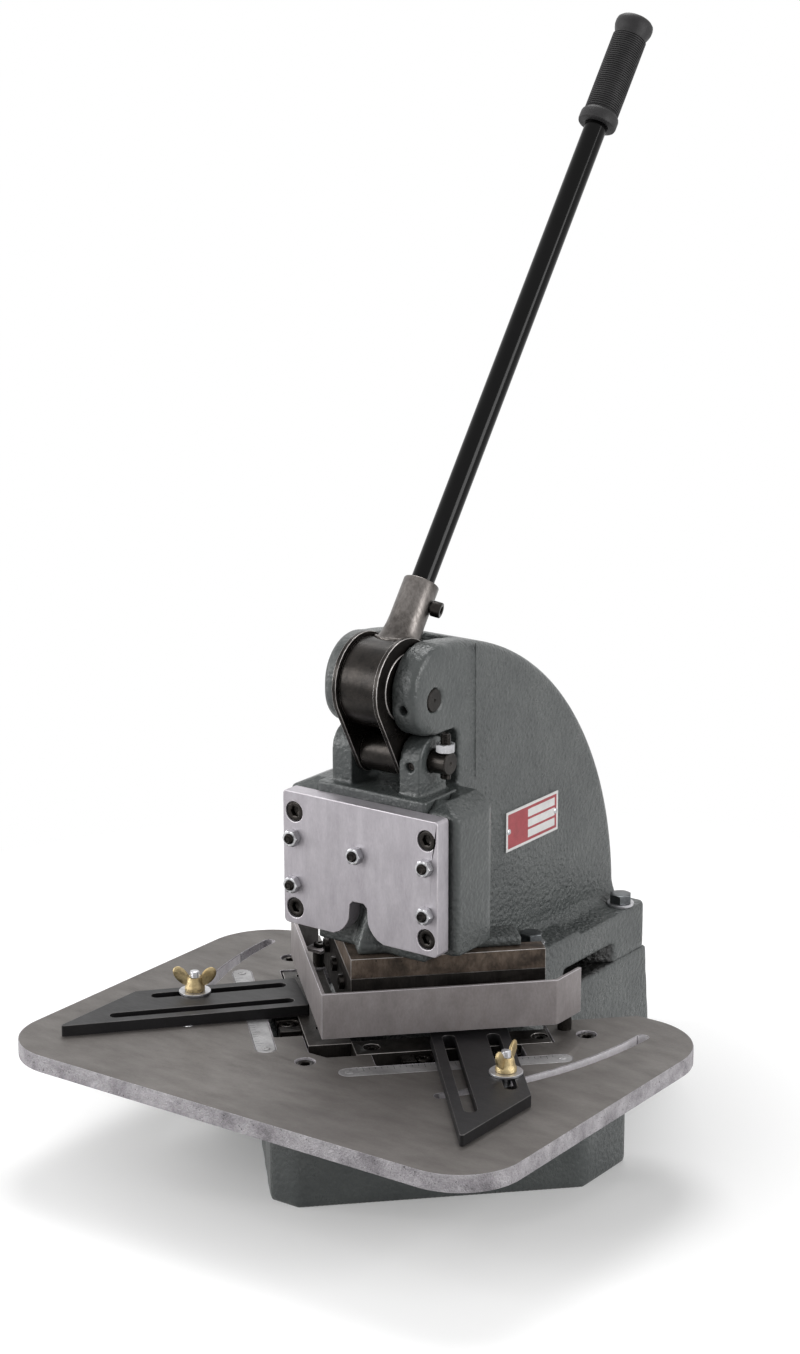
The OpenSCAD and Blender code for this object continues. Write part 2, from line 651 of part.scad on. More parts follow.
module ram() color(iron) seat() difference() {
    union() {
        translate([-ram_half, ram_y0, house_low - 6]) cube([2 * ram_half, ram_y1 - ram_y0, ram_top - house_low + 6]);
        slab(block_top, ram_foot_top) {
            vee_plan(foot_out_c, block_in_c, heel_s);
            translate([-ram_half, ram_y0]) square([2 * ram_half, ram_y1 - ram_y0]);
        }
        nose();
        for (sx = [-1, 1]) side(sx) {
            rod_x(ram_ear[0], ram_ear[1], ram_ear_r, lower_y, lower_z);
            translate([ram_ear[0], lower_y - ram_ear_r, ram_top - 2])
                cube([ram_ear[1] - ram_ear[0], 2 * ram_ear_r - 2.5, lower_z - ram_top + 2]);
        }
    }
    rod_x(-ram_ear[1] - over, ram_ear[1] + over, pin_r + 0.02, lower_y, lower_z);
    ear_screw_line(lower_y, lower_z) translate([0, 0, pin_r - 1]) cylinder(h = 40, r = set_r);
    for (s = block_screws_s, sx = [-1, 1]) side(sx) rod_z(block_top - over, ram_foot_top + over, 5.03,
        vee(block_screw_c, s).x, vee(block_screw_c, s).y);
}

// Steel block under the ram's foot, with a leg behind the blades
module punch_block() color(steel) seat() difference() {
    union() {
        slab(block_low, block_top) {
            vee_plan(cut_c, block_in_c, heel_s);
            vee_plan(cut_c, tip_in_c, tip_s);
        }
        slab(blade_low + 3, block_low + over) vee_plan(blade_in_c, block_in_c, heel_s);
    }
    for (s = block_screws_s, sx = [-1, 1]) side(sx) {
        rod_z(blade_low, block_top + over, 5.3, vee(block_screw_c, s).x, vee(block_screw_c, s).y);
        rod_z(blade_low, block_low - 8, 8.3, vee(block_screw_c, s).x, vee(block_screw_c, s).y);
    }
    at_blade_screws() translate([0, 0, -blade_t - 14]) cylinder(h = 15, r = die_screw_r + tapped);
}

module block_screws() color(black) seat() for (s = block_screws_s, sx = [-1, 1]) side(sx)
    translate([vee(block_screw_c, s).x, vee(block_screw_c, s).y, block_low - 8]) rotate([180, 0, 0]) cap_screw(5, 8, 10, 30, 4.6);

// Blade screws point out of each blade's face, heads proud
module at_blade_screws() for (s = blade_screws_s, sx = [-1, 1]) side(sx)
    translate([vee(cut_c, s).x, vee(cut_c, s).y, blade_screw_z]) rotate([0, 90, -45]) children();

module blade(sx) color("DimGray") seat() difference() {
    side(sx) slab(blade_low, block_low) polygon([[0, -cut_c], vee(cut_c, tip_s), vee(blade_in_c, tip_s), [0, -blade_in_c]]);
    at_blade_screws() {
        translate([0, 0, -blade_t - 1]) cylinder(h = blade_t + 2, r = die_screw_r + 0.3);
        translate([0, 0, -head_sink]) cylinder(h = 9, r = 6.9);
    }
}
module left_blade() blade(-1);
module right_blade() blade(1);

module blade_screws() color(black) seat() at_blade_screws() translate([0, 0, -head_sink])
    cap_screw(die_screw_r, 6.5, 8, blade_t + 8, 3.4);

module lower_roller() color(black) seat() difference() {
    rod_x(-17.9, 17.9, 17, lower_y, lower_z);
    rod_x(-19, 19, pin_r + 0.03, lower_y, lower_z);
}

module lower_pin() color(black) seat() difference() {
    rod_x(-ram_ear[1], 60, pin_r, lower_y, lower_z);
    rod_z(lower_z - 20, lower_z + 20, stop_r + tapped, stop_x, lower_y);
}

module ram_set_screw() color(black) seat()
    ear_screw_line(lower_y, lower_z) translate([0, 0, pin_r + sliver]) set_screw(set_r - sliver, 8, 2.3);

stop_x = 55;
stop_r = 4.5;
stop_low = 331;
stop_high = 369;
module stop_screw() color(black) seat() translate([stop_x, lower_y, stop_low]) set_screw(stop_r, stop_high - stop_low, 2.6);
module stop_nut() color(bright) seat() translate([stop_x, lower_y, lower_z + pin_r]) hex_nut(8.4, 7, stop_r + tapped);

// ---- lever ---------------------------------------------------------------------------------

hub_r = 36;
bush_r = 12.5;
socket_r = 15;
socket_end = 90.3;
bar_from = 42;
grip_len = 104;
grip_r = 14.3;
screw_at = 72;
screw_turn = 20;

module at_hub() translate([0, hub_y, hub_z]) children();
module along_handle() at_hub() rotate([-handle_lean, 0, 0]) children();
module drum(half, r) rod_x(-half, half, r, 0, 0);
module at_socket_screw() along_handle() translate([0, 0, screw_at]) rotate([0, 0, screw_turn]) rotate([0, 90, 0]) children();

module lever_hub() color(black) seat() difference() {
    at_hub() {
        drum(hub_half, hub_r);
        drum(boss_half, boss_r);
    }
    rod_x(-boss_half - over, boss_half + over, bush_r, pin_y, pin_z);
}

module hub_bush() color("Peru") seat() difference() {
    rod_x(-boss_half, boss_half, bush_r, pin_y, pin_z);
    rod_x(-boss_half - over, boss_half + over, pin_r + 0.05, pin_y, pin_z);
}

module handle_socket() color(black) seat() difference() {
    along_handle() difference() {
        union() {
            translate([0, 0, 28]) cylinder(h = socket_end - 28, r = socket_r);
            translate([0, 0, 28]) cylinder(h = 18, r1 = 18, r2 = socket_r);
        }
        translate([0, 0, bar_from]) cylinder(h = 60, r = bar_r + sliver);
    }
    at_hub() drum(hub_half + 5, hub_r);
    at_socket_screw() cylinder(h = 30, r = die_screw_r + tapped);
}

module socket_screw() color(black) seat() at_socket_screw()
    translate([0, 0, 16]) cap_screw(die_screw_r, 6.5, 8, 16 - bar_r - sliver, 3.4);

module handle_bar() color("Black") seat() along_handle()
    translate([0, 0, bar_from]) cylinder(h = handle_reach - 8 - bar_from, r = bar_r);

module grip() color("#333333") seat() along_handle() translate([0, 0, handle_reach - grip_len]) difference() {
    rotate_extrude() polygon([[0, 0], [16, 0], [16.7, 3], [16.7, 9], [grip_r, 12], [grip_r, 88], [15.2, 93],
        [16.5, 97], [16.5, 101], [15, grip_len], [0, grip_len]]);
    translate([0, 0, -over]) cylinder(h = grip_len - 8 + over, r = bar_r);
}

// Thin plates hang from the hub's bosses and carry the ram's pin
link_end_r = 19;
link_top_r = 40;
link_x = [18.3, 22.2];

module link_plate(sx) color(black) seat() side(sx) difference() {
    hull() {
        rod_x(link_x[0], link_x[1], link_top_r, hub_y, hub_z, $fn = 32);
        rod_x(link_x[0], link_x[1], link_end_r, lower_y, lower_z, $fn = 32);
    }
    rod_x(link_x[0] - over, link_x[1] + over, boss_r + sliver, hub_y, hub_z);
    rod_x(link_x[0] - over, link_x[1] + over, pin_r + link_slack, lower_y + link_offset, lower_z);
}
module left_link_plate() link_plate(-1);
module right_link_plate() link_plate(1);

module upper_pin() color(black) seat() rod_x(-web_half + 0.3, web_half - 0.3, pin_r, pin_y, pin_z);

module pin_set_screw() color(black) seat()
    ear_screw_line(pin_y, pin_z) translate([0, 0, pin_r + sliver]) set_screw(set_r - sliver, 12, 2.3);

// ---- fences and their clamps ---------------------------------------------------------------

fence_at = [57, 19];         // a point on the right fence's long edge
fence_start = [7.6, -6.4];   // where the left and the right fence begin, along that edge
fence_slots = [[14, 16, 161], [50.5, 16, 121]];  // distance from the long edge, start, end
fence_slot_w = 10.5;
bolt_r = 4;
washer_r = 13.5;
washer_t = 2;
fence_top = table_top + fence_t;

// Each bolt stands where its fence's short slot crosses the table's curved slot
fence_u = [cos(fence_angle), -sin(fence_angle)];
fence_n = [sin(fence_angle), cos(fence_angle)];
function slot_start(sx) = fence_at + fence_n * fence_slots[1][0] - [arc_x + sx * table_shift, arc_y];
function bolt_along(sx) = let (w = slot_start(sx), b = w * fence_u) sqrt(b * b - w * w + arc_r * arc_r) - b;
function bolt_xy(sx) = fence_at + fence_n * fence_slots[1][0] + fence_u * bolt_along(sx);
module at_clamp(sx) side(sx) translate([bolt_xy(sx).x, bolt_xy(sx).y, 0]) children();

module fence(sx) color("#1c1c1e") seat() side(sx) translate([fence_at.x, fence_at.y, 0])
    rotate([0, 0, -fence_angle]) translate([sx < 0 ? fence_start[0] : fence_start[1], 0, 0])
    slab(table_top, fence_top) difference() {
        polygon(rounded([
            [0, fence_w, 2], [0, 0, 2], [fence_len, 0, 2], [fence_len - fence_w * tan(fence_angle), fence_w, 3]], 4));
        for (f = fence_slots) polygon(stadium([f[1], f[0]], [f[2], f[0]], fence_slot_w / 2));
    }
module left_fence() fence(-1);
module right_fence() fence(1);

module clamp_bolt(sx) color(bright) seat() at_clamp(sx) {
    rod_z(deck - 5, deck - sliver, 9, 0, 0);
    rod_z(deck - 1, fence_top + 19, bolt_r, 0, 0);
}
module left_clamp_bolt() clamp_bolt(-1);
module right_clamp_bolt() clamp_bolt(1);

module washer(sx) color(bright) seat() at_clamp(sx) difference() {
    rod_z(fence_top, fence_top + washer_t, washer_r, 0, 0);
    rod_z(fence_top - over, fence_top + 5, bolt_r + 0.3, 0, 0);
}
module left_washer() washer(-1);
module right_washer() washer(1);

wing_turn = [-32, 98];       // how the left and the right wing nut were left standing
module wing_nut(sx) color("Goldenrod") seat() at_clamp(sx) translate([0, 0, fence_top + washer_t]) difference() {
    union() {
        cylinder(h = 4, r = 8.5);
        translate([0, 0, 4]) cylinder(h = 8, r1 = 7.5, r2 = 6);
        for (e = [0, 180]) rotate([0, 0, (sx < 0 ? wing_turn[0] : wing_turn[1]) + e]) rotate([90, 0, 0]) translate([0, 0, -1.6])
            linear_extrude(3.2) hull() {
                translate([5, 5]) circle(r = 3.5, $fn = 24);
                translate([14, 16]) circle(r = 5.2, $fn = 24);
                translate([6.5, 9]) circle(r = 3, $fn = 24);
            }
    }
    translate([0, 0, -over]) cylinder(h = 20, r = bolt_r + 0.05);
}
module left_wing_nut() wing_nut(-1);
module right_wing_nut() wing_nut(1);

// ---- the whole machine ---------------------------------------------------------------------

base();
frame();
table();
left_scale();
right_scale();
scale_screws();
table_screws();
left_lower_die();
right_lower_die();
lower_die_screws();
left_die_clamps();
right_die_clamps();
die_clamp_screws();
guard();
guard_posts();
guard_screws();
front_plate();
plate_screws();
jack_screws();
drag_screw();
lock_nuts();
ram();
punch_block();
left_blade();
right_blade();
blade_screws();
block_screws();
lower_pin();
lower_roller();
ram_set_screw();
stop_screw();
stop_nut();
upper_pin();
pin_set_screw();
lever_hub();
hub_bush();
handle_socket();
socket_screw();
handle_bar();
grip();
left_link_plate();
right_link_plate();
frame_bolts();
frame_washers();
label_plate();
label_pins();
left_clamp_bolt();
left_washer();
left_fence();
left_wing_nut();
right_clamp_bolt();
right_washer();
right_fence();
right_wing_nut();
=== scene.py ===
import json
import math

import bmesh
import bpy
import numpy as np
from mathutils import Matrix, Vector

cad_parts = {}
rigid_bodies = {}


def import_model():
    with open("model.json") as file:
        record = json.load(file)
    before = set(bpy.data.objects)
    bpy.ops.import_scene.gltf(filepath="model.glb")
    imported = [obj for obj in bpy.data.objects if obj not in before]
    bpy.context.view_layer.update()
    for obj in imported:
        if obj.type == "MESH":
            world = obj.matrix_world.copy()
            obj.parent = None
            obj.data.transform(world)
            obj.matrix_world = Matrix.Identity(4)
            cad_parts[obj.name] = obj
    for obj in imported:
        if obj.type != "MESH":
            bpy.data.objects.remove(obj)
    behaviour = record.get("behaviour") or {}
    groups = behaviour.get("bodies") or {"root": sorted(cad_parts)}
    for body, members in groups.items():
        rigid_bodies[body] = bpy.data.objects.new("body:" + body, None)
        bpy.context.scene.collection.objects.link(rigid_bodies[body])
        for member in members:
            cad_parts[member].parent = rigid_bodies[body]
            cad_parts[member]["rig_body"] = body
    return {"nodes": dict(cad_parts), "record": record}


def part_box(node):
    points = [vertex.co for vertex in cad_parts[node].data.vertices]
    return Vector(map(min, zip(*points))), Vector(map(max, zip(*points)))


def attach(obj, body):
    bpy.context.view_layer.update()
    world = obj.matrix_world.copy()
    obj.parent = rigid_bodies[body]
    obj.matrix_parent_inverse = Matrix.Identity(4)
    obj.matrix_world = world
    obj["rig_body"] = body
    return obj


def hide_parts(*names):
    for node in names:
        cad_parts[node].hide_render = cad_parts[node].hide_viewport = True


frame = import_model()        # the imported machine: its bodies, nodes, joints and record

# Corner notcher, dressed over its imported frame. Metres; +X is the operator's right, +Y points
# away from the operator, +Z is up. Sizes of small pieces are written in millimetres.

MM = 0.001
NODES = frame["nodes"]
SLOT_OF = {part["node"]: part["material_slot"] for part in frame["record"]["subparts"]}
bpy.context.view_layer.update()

# ---- camera --------------------------------------------------------------------------------

EYE = (1.3409, -1.9395, 1.0290)
EYE_TURN, EYE_TILT, EYE_ROLL = 35.69, 74.78, -0.13    # degrees

lens = bpy.data.cameras.new("bench_view")
lens.lens = 78.09
lens.sensor_width = 36
camera = bpy.data.objects.new("bench_view", lens)
camera.matrix_world = (Matrix.Translation(EYE)
                       @ Matrix.Rotation(math.radians(EYE_TURN), 4, "Z")
                       @ Matrix.Rotation(math.radians(EYE_TILT), 4, "X")
                       @ Matrix.Rotation(math.radians(EYE_ROLL), 4, "Z"))
bpy.context.scene.collection.objects.link(camera)
bpy.context.scene.camera = camera
bpy.context.scene.view_settings.view_transform = "Standard"


# ---- shader groups -------------------------------------------------------------------------

def srgb(*levels):
    """Linear colour of three screen levels from 0 to 255."""
    level = np.array(levels) / 255
    linear = np.where(level < 0.04045, level / 12.92, ((level + 0.055) / 1.055) ** 2.4)
    return (*map(float, linear), 1.0)


class Wiring:
    """Adds nodes to one tree and links their inputs by name."""

    def __init__(self, tree):
        self.tree = tree

    def add(self, kind, inputs=(), **settings):
        node = self.tree.nodes.new(kind)
        for key, value in settings.items():
            setattr(node, key, value)
        for key, value in dict(inputs).items():
            if isinstance(value, bpy.types.NodeSocket):
                self.tree.links.new(value, node.inputs[key])
            else:
                node.inputs[key].default_value = value
        return node

    def blend(self, share, low, high):
        """Colour that runs from low to high with share."""
        node = self.add("ShaderNodeMix", {0: share, 6: low, 7: high}, data_type="RGBA")
        return node.outputs[2]

    def span(self, value, low, high, to_low, to_high):
        """Value moved from low..high to to_low..to_high and held there."""
        node = self.add("ShaderNodeMapRange", {"Value": value, "From Min": low, "From Max": high,
                                               "To Min": to_low, "To Max": to_high})
        return node.outputs["Result"]

    def maths(self, operation, first, second):
        return self.add("ShaderNodeMath", {0: first, 1: second}, operation=operation).outputs[0]

    def noise(self, vector, scale, detail, roughness, distortion=0.0):
        """Noise from 0 to 1, with its middle near a half."""
        return self.add("ShaderNodeTexNoise", {
            "Vector": vector, "Scale": scale, "Detail": detail, "Roughness": roughness,
            "Distortion": distortion}).outputs["Fac"]


def start_group(name, inputs, outputs):
    """An empty shader group with float inputs (a first one is always Vector) and float outputs."""
    tree = bpy.data.node_groups.new(name, "ShaderNodeTree")
    tree.interface.new_socket("Vector", in_out="INPUT", socket_type="NodeSocketVector")
    for label in inputs:
        tree.interface.new_socket(label, in_out="INPUT", socket_type="NodeSocketFloat")
    for label in outputs:
        tree.interface.new_socket(label, in_out="OUTPUT", socket_type="NodeSocketFloat")
    wiring = Wiring(tree)
    return wiring, wiring.add("NodeGroupInput").outputs, wiring.add("NodeGroupOutput").inputs


TONE_LOW, TONE_HIGH = 0.36, 0.64    # the part of a noise that a tone is stretched over


def cast_skin():
    """Sand-cast paint: rounded pebbles over finer noise, and a slow tone that drifts over the part."""
    w, given, out = start_group("cast_skin", ["Scale"], ["Height", "Tone"])
    vector, scale = given["Vector"], given["Scale"]
    pebbles = w.add("ShaderNodeTexVoronoi", {"Vector": vector, "Scale": scale, "Smoothness": 0.9},
                    feature="SMOOTH_F1").outputs["Distance"]
    fine = w.noise(vector, w.maths("MULTIPLY", scale, 1.3), 3.0, 0.65)
    drift = w.noise(vector, w.maths("MULTIPLY", scale, 0.08), 5.0, 0.6)
    height = w.maths("SUBTRACT", w.maths("MULTIPLY", fine, 1.2), w.maths("MULTIPLY", pebbles, 0.9))
    tone = w.maths("ADD", w.maths("MULTIPLY", drift, 0.75), w.maths("MULTIPLY", fine, 0.25))
    w.tree.links.new(height, out["Height"])
    w.tree.links.new(w.span(tone, TONE_LOW, TONE_HIGH, 0.0, 1.0), out["Tone"])


def ground_lines():
    """Ground or brushed steel: the vector comes in stretched, so noise draws out into fine lines."""
    w, given, out = start_group("ground_lines", ["Scale"], ["Height", "Tone"])
    vector, scale = given["Vector"], given["Scale"]
    lines = w.noise(vector, scale, 4.0, 0.7)
    bands = w.noise(vector, w.maths("MULTIPLY", scale, 0.15), 3.0, 0.6)
    tone = w.maths("ADD", w.maths("MULTIPLY", lines, 0.45), w.maths("MULTIPLY", bands, 0.55))
    w.tree.links.new(lines, out["Height"])
    w.tree.links.new(w.span(tone, TONE_LOW, TONE_HIGH, 0.0, 1.0), out["Tone"])


def shop_marks():
    """What use leaves: soft stains, and small specks, more of them as the share grows. A speck is
    where its noise passes a limit, which the share brings down."""
    w, given, out = start_group("shop_marks", ["Stain scale", "Speck scale", "Speck share"],
                                ["Stain", "Specks"])
    stain = w.noise(given["Vector"], given["Stain scale"], 6.0, 0.62, 0.4)
    speck = w.noise(given["Vector"], given["Speck scale"], 2.0, 0.5)
    limit = w.maths("SUBTRACT", 0.82, w.maths("MULTIPLY", given["Speck share"], 0.4))
    w.tree.links.new(w.span(stain, 0.48, 0.68, 0.0, 1.0), out["Stain"])
    w.tree.links.new(w.span(w.maths("SUBTRACT", speck, limit), 0.0, 0.05, 0.0, 1.0), out["Specks"])


cast_skin()
ground_lines()
shop_marks()


# ---- materials -----------------------------------------------------------------------------

FINISH = {}
SPECK_STRENGTH = 0.85
# Near-black colour painted inside the throat as shade, standing for the shadow in that recess.
PAINTED_THROAT_SHADE = srgb(24, 23, 22)
THROAT_SHADE_BOX = ((0, 0.054, 0.116), (0.0768, 0.092, 0.0115))    # the sheet's gap, where the paint turns to a painted shade: its middle and half sizes


def finish(name, light, dark, marked, skin, scale, *, roughness, depth, metallic=0.0,
           stretch=(1, 1, 1), turn=0.0, stain=(0.06, 0.35), speck=(0.002, 0.0), shine=0.5,
           calm=None, shade_box=None):
    """Adds a metal or paint to FINISH: colour between dark and light, given as screen levels, by the
    skin's tone, then stains and specks in the marked colour; roughness goes from its second value to
    its first with the tone and the stains, and the skin's height is a relief of depth millimetres.
    Stain is its size in metres and its strength, speck its size and share, shine the gloss of what is
    not metal, and calm the Y range over which the relief grows from a third to full. The shade box,
    given by its middle and half sizes, is where the colour gives way to a near-black painted shade
    that stands for the shadow deep inside the throat."""
    material = bpy.data.materials.new(name)
    material.use_nodes = True
    w = Wiring(material.node_tree)
    w.tree.nodes.clear()
    place = w.add("ShaderNodeTexCoord").outputs["Object"]
    drawn = w.add("ShaderNodeMapping", {"Vector": place, "Scale": stretch,
                                        "Rotation": (0, 0, math.radians(turn))}).outputs[0]
    relief = w.add("ShaderNodeGroup", node_tree=bpy.data.node_groups[skin])
    w.tree.links.new(drawn, relief.inputs["Vector"])
    relief.inputs["Scale"].default_value = scale
    marks = w.add("ShaderNodeGroup", node_tree=bpy.data.node_groups["shop_marks"])
    w.tree.links.new(place, marks.inputs["Vector"])
    marks.inputs["Stain scale"].default_value = 1 / stain[0]
    marks.inputs["Speck scale"].default_value = 1 / speck[0]
    marks.inputs["Speck share"].default_value = speck[1]
    tone, stained = relief.outputs["Tone"], marks.outputs["Stain"]
    specked = w.maths("MULTIPLY", marks.outputs["Specks"], SPECK_STRENGTH)
    colour = w.blend(tone, srgb(*dark), srgb(*light))
    colour = w.blend(w.maths("MULTIPLY", stained, stain[1]), colour, srgb(*marked))
    colour = w.blend(specked, colour, srgb(*marked))
    # Painted shade: inside the throat box the colour turns nearly black, where the recess lies in
    # shadow.
    if shade_box:
        off = w.add("ShaderNodeVectorMath", {0: place, 1: shade_box[0]}, operation="SUBTRACT").outputs[0]
        off = w.add("ShaderNodeVectorMath", {0: off}, operation="ABSOLUTE").outputs[0]
        off = w.add("ShaderNodeVectorMath", {0: off, 1: shade_box[1]}, operation="SUBTRACT").outputs[0]
        beyond = w.add("ShaderNodeSeparateXYZ", {0: off}).outputs
        outside = w.maths("MAXIMUM", beyond["X"], w.maths("MAXIMUM", beyond["Y"], beyond["Z"]))
        colour = w.blend(w.span(outside, -0.002, 0.0, 0.9, 0.0), colour, PAINTED_THROAT_SHADE)
    worn = w.maths("ADD", w.maths("MULTIPLY", tone, 0.6), w.maths("MULTIPLY", stained, 0.4))
    height = relief.outputs["Height"]
    if calm:
        along = w.add("ShaderNodeSeparateXYZ", {0: place}).outputs["Y"]
        height = w.maths("MULTIPLY", height, w.span(along, calm[0], calm[1], 0.33, 1.0))
    bump = w.add("ShaderNodeBump", {"Strength": 1.0, "Distance": depth * MM, "Height": height})
    shader = w.add("ShaderNodeBsdfPrincipled", {
        "Base Color": colour, "Metallic": metallic, "Specular IOR Level": shine,
        "Roughness": w.span(worn, 0.0, 1.0, roughness[1], roughness[0]), "Normal": bump.outputs[0]})
    w.add("ShaderNodeOutputMaterial", {"Surface": shader.outputs[0]})
    FINISH[name] = material


# The casting paint turns to a near-black painted shade inside the throat.
finish("casting_paint", (82, 86, 85), (66, 70, 70), (46, 50, 50), "cast_skin", 260,
       roughness=(0.2, 0.4), depth=1.7, stain=(0.09, 0.3), speck=(0.003, 0.12), calm=(-0.06, -0.03),
       shade_box=THROAT_SHADE_BOX)
finish("table_steel", (108, 104, 101), (88, 84, 81), (66, 62, 59), "cast_skin", 700,
       metallic=0.45, roughness=(0.44, 0.58), depth=0.06, stretch=(0.4, 1, 1), turn=20,
       stain=(0.12, 0.35), speck=(0.0018, 0.04))
finish("table_edge", (190, 186, 190), (128, 124, 128), (62, 60, 60), "cast_skin", 620,
       metallic=0.35, roughness=(0.45, 0.65), depth=1.0, stain=(0.02, 0.25), speck=(0.0016, 0.4))
finish("slot_wall", (226, 223, 226), (196, 193, 196), (150, 147, 148), "ground_lines", 500,
       metallic=0.2, roughness=(0.4, 0.55), depth=0.05, stain=(0.02, 0.2))
finish("plate_steel", (186, 182, 187), (166, 161, 167), (138, 133, 138), "ground_lines", 700,
       metallic=0.55, roughness=(0.4, 0.52), depth=0.02, stretch=(1, 1, 0.3), stain=(0.04, 0.25),
       speck=(0.0016, 0.05))
finish("guard_steel", (152, 146, 146), (134, 128, 128), (108, 103, 102), "ground_lines", 600,
       metallic=0.5, roughness=(0.42, 0.55), depth=0.02, stretch=(1, 1, 0.5), stain=(0.05, 0.3),
       speck=(0.0016, 0.05))
finish("scale_steel", (168, 167, 168), (140, 139, 140), (104, 102, 100), "ground_lines", 500,
       metallic=0.6, roughness=(0.35, 0.5), depth=0.02, stain=(0.02, 0.5), speck=(0.0015, 0.1))
finish("blade_steel", (66, 62, 59), (38, 35, 33), (20, 18, 17), "ground_lines", 800,
       metallic=0.7, roughness=(0.3, 0.5), depth=0.03, stretch=(1, 1, 0.25), stain=(0.03, 0.6),
       speck=(0.003, 0.2))
finish("punch_steel", (122, 108, 96), (74, 62, 53), (22, 18, 16), "ground_lines", 420,
       metallic=0.55, roughness=(0.38, 0.6), depth=0.06, stretch=(1, 1, 0.5), stain=(0.02, 0.75),
       speck=(0.0035, 0.3))
finish("black_steel", (52, 48, 45), (26, 23, 21), (12, 11, 10), "ground_lines", 420,
       metallic=0.75, roughness=(0.2, 0.36), depth=0.04, stain=(0.02, 0.6), speck=(0.0025, 0.08))
finish("bolt_steel", (104, 107, 109), (70, 73, 75), (40, 41, 42), "ground_lines", 380,
       metallic=0.8, roughness=(0.24, 0.38), depth=0.04, stain=(0.012, 0.5), speck=(0.002, 0.08))
finish("socket_steel", (128, 123, 120), (74, 70, 67), (30, 27, 25), "ground_lines", 380,
       metallic=0.85, roughness=(0.26, 0.42), depth=0.05, stretch=(1, 1, 0.3), stain=(0.025, 0.5),
       speck=(0.003, 0.12))
finish("zinc", (206, 206, 208), (172, 172, 176), (120, 118, 116), "ground_lines", 700,
       metallic=0.85, roughness=(0.22, 0.38), depth=0.02, stain=(0.01, 0.3), speck=(0.0015, 0.04))
finish("bar_black", (12, 11, 12), (5, 5, 5), (2, 2, 2), "ground_lines", 90,
       roughness=(0.07, 0.15), depth=0.006, stretch=(1, 1, 0.3), stain=(0.1, 0.4), shine=0.14)
finish("grip_rubber", (46, 45, 46), (30, 29, 30), (20, 19, 20), "cast_skin", 900,
       shine=0.35, roughness=(0.44, 0.6), depth=0.06, stain=(0.02, 0.4))
finish("bronze", (170, 124, 74), (138, 96, 54), (84, 58, 34), "ground_lines", 600,
       metallic=0.9, roughness=(0.28, 0.42), depth=0.02, stain=(0.01, 0.3))
finish("fence_black", (30, 29, 31), (16, 15, 16), (46, 45, 45), "ground_lines", 500,
       shine=0.3, roughness=(0.36, 0.5), depth=0.03, stretch=(0.3, 1, 1), turn=45, stain=(0.08, 0.25),
       speck=(0.0015, 0.02))
finish("wing_brass", (206, 188, 146), (156, 136, 98), (84, 70, 48), "cast_skin", 700,
       metallic=0.85, roughness=(0.28, 0.5), depth=0.2, stain=(0.006, 0.6), speck=(0.0015, 0.1))
finish("label", (232, 231, 230), (218, 217, 216), (190, 188, 186), "ground_lines", 400,
       roughness=(0.3, 0.42), depth=0.01, stain=(0.02, 0.2))
finish("label_red", (172, 62, 70), (150, 46, 54), (120, 36, 42), "ground_lines", 400,
       roughness=(0.3, 0.42), depth=0.01, stain=(0.02, 0.3))
# Painted highlight: a lighter colour on bevelled edges, standing for the glint of light along them.
finish("painted_edge_highlight", (190, 186, 184), (142, 137, 134), (74, 69, 66), "ground_lines", 500,
       metallic=0.8, roughness=(0.28, 0.42), depth=0.02, stain=(0.02, 0.6))
# Painted highlight: a lighter rim colour on the bevels of the plate and guard, for light caught along
# their edges.
finish("plate_rim_highlight", (212, 208, 212), (186, 181, 186), (140, 135, 138), "ground_lines", 700,
       metallic=0.6, roughness=(0.34, 0.46), depth=0.02, stain=(0.03, 0.3), speck=(0.0016, 0.05))
# Painted highlight: a lighter rim colour on the fences' bevels, for light caught along their edges.
finish("fence_rim_highlight", (86, 84, 84), (60, 58, 58), (34, 33, 33), "ground_lines", 500,
       metallic=0.4, roughness=(0.3, 0.42), depth=0.02, stain=(0.03, 0.5))
finish("scale_ink", (52, 52, 54), (38, 38, 40), (70, 70, 72), "ground_lines", 500,
       roughness=(0.5, 0.6), depth=0.01)


# ---- shapes --------------------------------------------------------------------------------

def grid(rows, count, ring=False):
    """Quads of a rows by count grid of points, closed along each row; ring also joins its last row
    to the first."""
    i, j = np.meshgrid(np.arange(rows if ring else rows - 1), np.arange(count), indexing="ij")
    up, on = (i + 1) % rows, (j + 1) % count
    quads = np.stack([i * count + j, i * count + on, up * count + on, up * count + j], -1)
    return quads.reshape(-1, 4).tolist()


def capped(rows, count):
    """Quads of an open grid, with a flat face over its first row and one over its last."""
    last = (rows - 1) * count
    return grid(rows, count) + [list(range(count))[::-1], list(range(last, last + count))]


def around(count):
    """Angles of count even steps round a full turn."""
    return np.arange(count) * 2 * np.pi / count


NO_RIM = 1e9
PLAIN = (0.0, 0.0, 0.0, NO_RIM, 0.0, 0.0)


def turned(rows, count=48, ring=False):
    """Turned surface about Z. Each row is (radius, height, hexness, rim, dx, dy): at angle t the
    radius is round, or with hexness 1 the side of a hexagon with corners at that radius, cut down
    to the rim's radius, about a centre moved by dx and dy. What a row leaves out comes from PLAIN.
    Open ends get flat caps, and ring joins the last row to the first."""
    table = np.array([tuple(row) + PLAIN[len(row):] for row in rows])[:, :, None]
    t = around(count)
    side = np.cos(np.pi / 6) / np.cos(t % (np.pi / 3) - np.pi / 6)
    radius = np.minimum(table[:, 0] * (1 + table[:, 2] * (side - 1)), table[:, 3])
    points = np.stack([radius * np.cos(t) + table[:, 4], radius * np.sin(t) + table[:, 5],
                       table[:, 1] + 0 * t], -1)
    return points.reshape(-1, 3), grid(len(rows), count, True) if ring else capped(len(rows), count)


THREAD_DEPTH = 0.55    # share of the pitch


